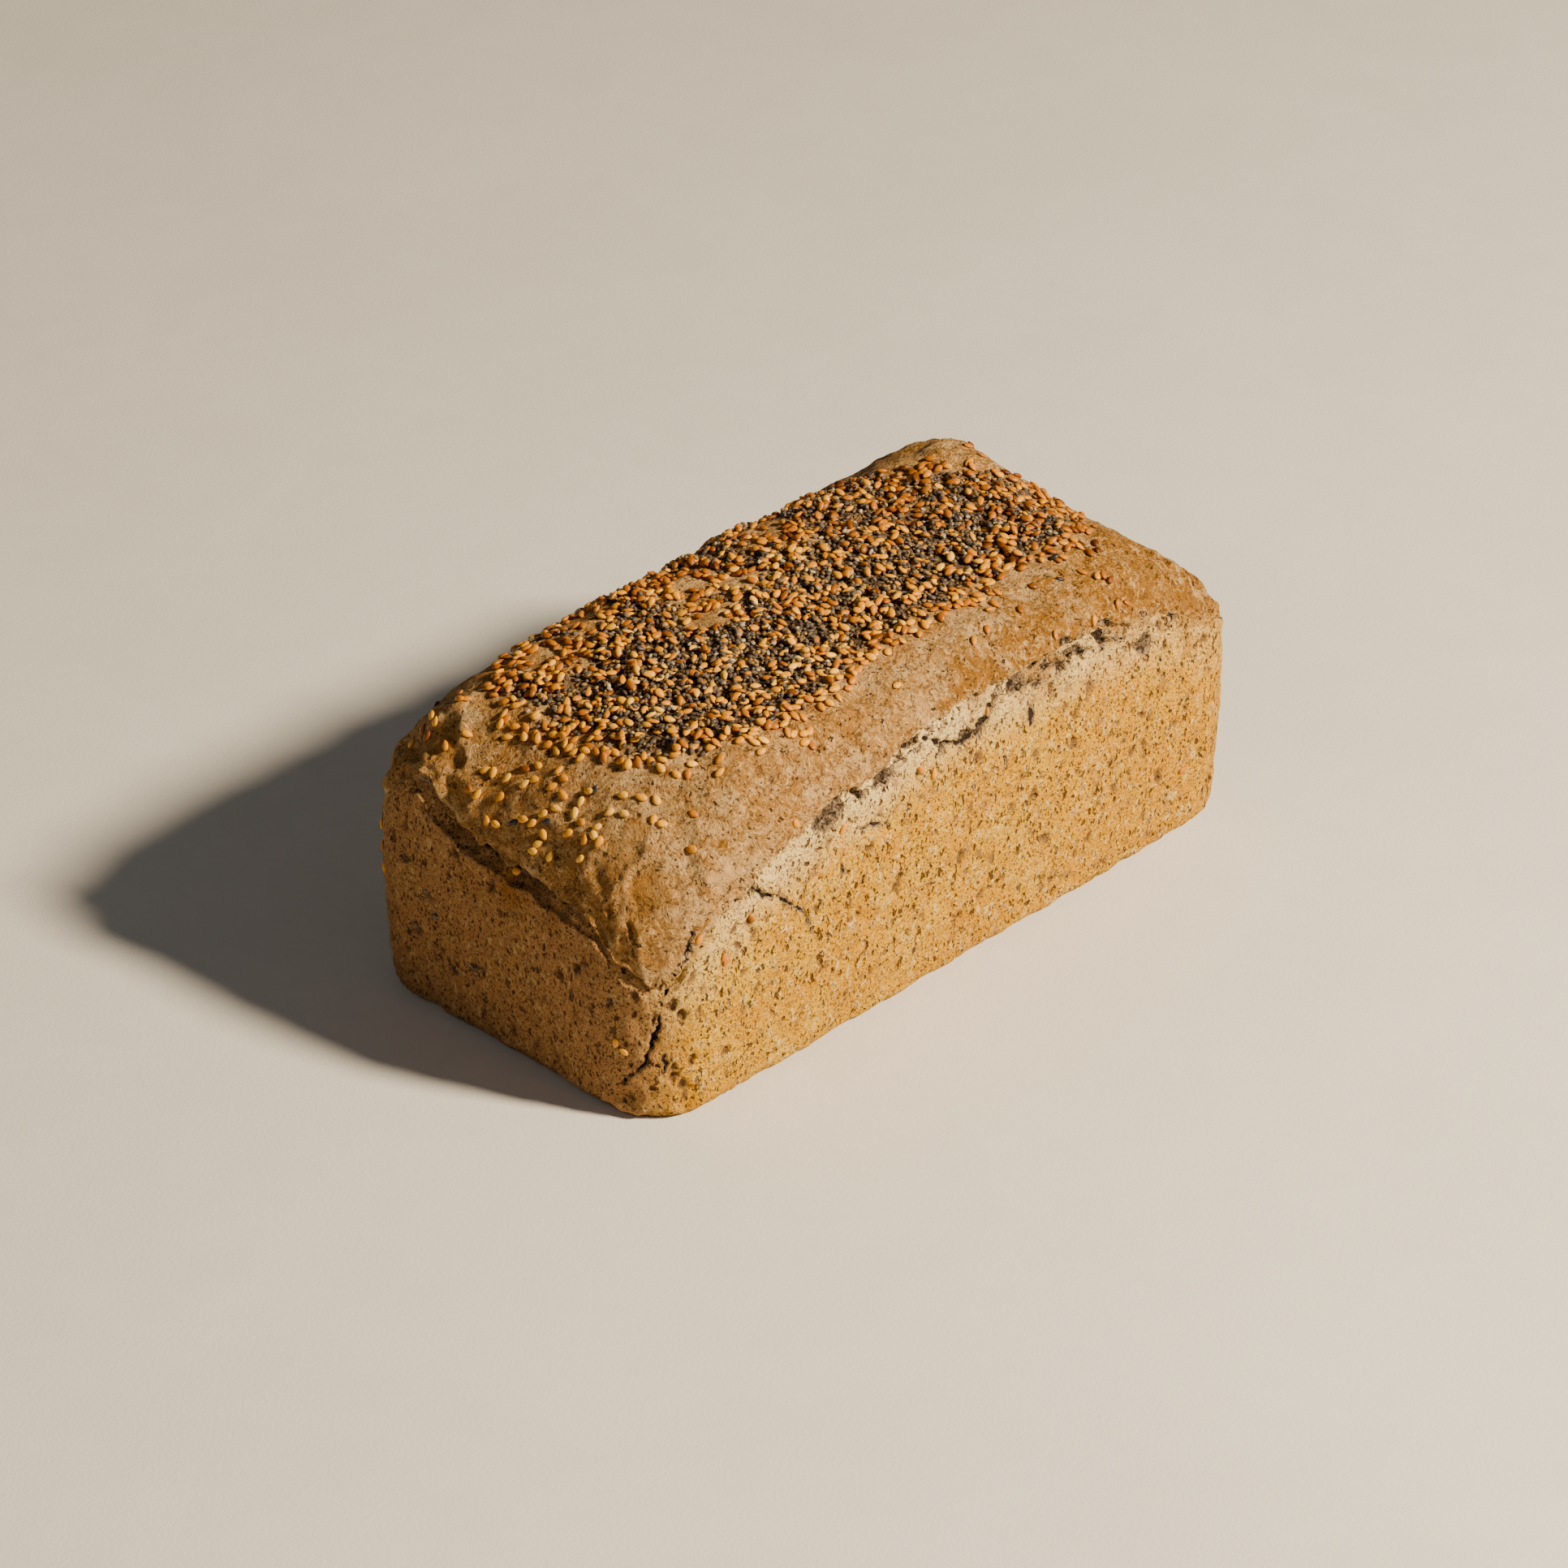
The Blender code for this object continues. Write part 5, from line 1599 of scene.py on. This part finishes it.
class SeedSettings(bpy.types.PropertyGroup):
    """How many seeds are sprinkled on the crown's patch."""

    sesame_count: count_property("Sesame", 1750, "Sesame seeds dropped on the patch")
    small_count: count_property("Small seeds", 3300, "Small mottled seeds dropped on the patch")
    black_count: count_property("Black sesame", 34, "Black sesame seeds dropped on the patch")


class StageSettings(bpy.types.PropertyGroup):
    """The studio's floor and lights."""

    floor_side: length_property("Floor side", 5.0, "Side of the square floor")
    key_power: light_property("Key light", 94.0, "Power of the main light")
    fill_power: light_property("Fill light", 1.5, "Power of the light that opens the shadows")
    room_light: light_property("Room light", 0.08, "Strength of the light from all round", "NONE")


class LOAF_OT_model_surface(bpy.types.Operator):
    """Model the loaf's baked surface over its solid"""

    bl_idname = "loaf.model_surface"
    bl_label = "Model Loaf Surface"

    def execute(self, context):
        scene = context.scene
        mesh = build_loaf_mesh(Form(scene.loaf_sizes))
        mesh.transform(solid_shift(mesh))
        piece = add_piece("loaf_surface", mesh, loaf_material(scene.loaf_colours))
        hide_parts(SOLID)
        return {"FINISHED"}


class LOAF_OT_scatter_seeds(bpy.types.Operator):
    """Drop the sesame and the small seeds onto the loaf"""

    bl_idname = "loaf.scatter_seeds"
    bl_label = "Scatter Seeds"

    def execute(self, context):
        scene = context.scene
        surface = bpy.data.objects.get("loaf_surface")
        if surface is None:
            raise RuntimeError("Model the loaf's surface before its seeds are scattered")
        found = scatter(surface.data, Form(scene.loaf_sizes), scene.loaf_seeds)
        colours = scene.loaf_colours
        pieces = (
            ("sesame_seeds", "sesame", SESAME, sesame_material(colours)),
            ("black_sesame_seeds", "black", BLACK_SESAME, black_sesame_material(colours)),
            ("small_seeds", "small", SMALL_SEED, small_seed_material(colours)),
        )
        for name, kind, shape, material in pieces:
            add_piece(name, seeds_mesh(name, shape, *found[kind]), material)
        return {"FINISHED"}


def add_area_light(name, place, size, power, colour):
    data = bpy.data.lights.new(name, "AREA")
    data.shape = "DISK"
    data.size = size
    data.energy = power
    data.color = colour
    light = bpy.data.objects.new(name, data)
    light.location = place
    light.rotation_euler = (Vector(LIGHTS_AIM) - Vector(place)).to_track_quat("-Z", "Y").to_euler()
    bpy.context.scene.collection.objects.link(light)


def add_camera():
    data = bpy.data.cameras.new("camera")
    data.sensor_width = SENSOR_WIDTH
    data.lens = SENSOR_WIDTH * FOCAL_PIXELS / PICTURE_PIXELS
    data.clip_start, data.clip_end = CLIP
    camera = bpy.data.objects.new("camera", data)
    camera.location = CAMERA_PLACE
    ahead = Vector((
        math.cos(CAMERA_HEADING) * math.cos(CAMERA_PITCH),
        math.sin(CAMERA_HEADING) * math.cos(CAMERA_PITCH),
        -math.sin(CAMERA_PITCH),
    ))
    camera.rotation_euler = ahead.to_track_quat("-Z", "Y").to_euler()
    bpy.context.scene.collection.objects.link(camera)
    bpy.context.scene.camera = camera


class LOAF_OT_set_stage(bpy.types.Operator):
    """Set the pale floor, the soft lights and the camera"""

    bl_idname = "loaf.set_stage"
    bl_label = "Set Stage"

    def execute(self, context):
        scene = context.scene
        settings = scene.loaf_stage
        bm = bmesh.new()
        bmesh.ops.create_grid(bm, x_segments=1, y_segments=1, size=settings.floor_side / 2)
        mesh = bpy.data.meshes.new("floor")
        bm.to_mesh(mesh)
        bm.free()
        mesh.materials.append(floor_material(scene.loaf_colours))
        floor = bpy.data.objects.new("floor", mesh)
        scene.collection.objects.link(floor)
        add_area_light("key_light", *KEY_LIGHT, settings.key_power, KEY_COLOUR)
        add_area_light("fill_light", *FILL_LIGHT, settings.fill_power, FILL_COLOUR)
        world = bpy.data.worlds.new("room")
        world.use_nodes = True
        background = world.node_tree.nodes["Background"]
        background.inputs["Color"].default_value = ROOM_COLOUR
        background.inputs["Strength"].default_value = settings.room_light
        scene.world = world
        add_camera()
        return {"FINISHED"}


class LOAF_PT_panel(bpy.types.Panel):
    """Lists the steps and settings of the loaf"""

    bl_idname = "LOAF_PT_panel"
    bl_label = "Seeded Loaf"
    bl_space_type = "VIEW_3D"
    bl_region_type = "UI"
    bl_category = "Loaf"

    def draw(self, context):
        for operator in OPERATORS:
            self.layout.operator(operator.bl_idname)
        for name, group in SETTINGS.items():
            box = self.layout.box()
            box.label(text=group.__doc__.strip())
            for setting in group.__annotations__:
                box.prop(getattr(context.scene, name), setting)


OPERATORS = (LOAF_OT_model_surface, LOAF_OT_scatter_seeds, LOAF_OT_set_stage)
SETTINGS = {
    "loaf_sizes": LoafSizes,
    "loaf_colours": LoafColours,
    "loaf_seeds": SeedSettings,
    "loaf_stage": StageSettings,
}


def register():
    for name, group in SETTINGS.items():
        bpy.utils.register_class(group)
        setattr(bpy.types.Scene, name, bpy.props.PointerProperty(type=group))
    for found in (*OPERATORS, LOAF_PT_panel):
        bpy.utils.register_class(found)


def unregister():
    for found in (LOAF_PT_panel, *reversed(OPERATORS)):
        bpy.utils.unregister_class(found)
    for name, group in reversed(SETTINGS.items()):
        delattr(bpy.types.Scene, name)
        bpy.utils.unregister_class(group)


def main():
    register()
    bpy.ops.loaf.model_surface()
    bpy.ops.loaf.scatter_seeds()
    bpy.ops.loaf.set_stage()


if __name__ == "__main__":
    main()
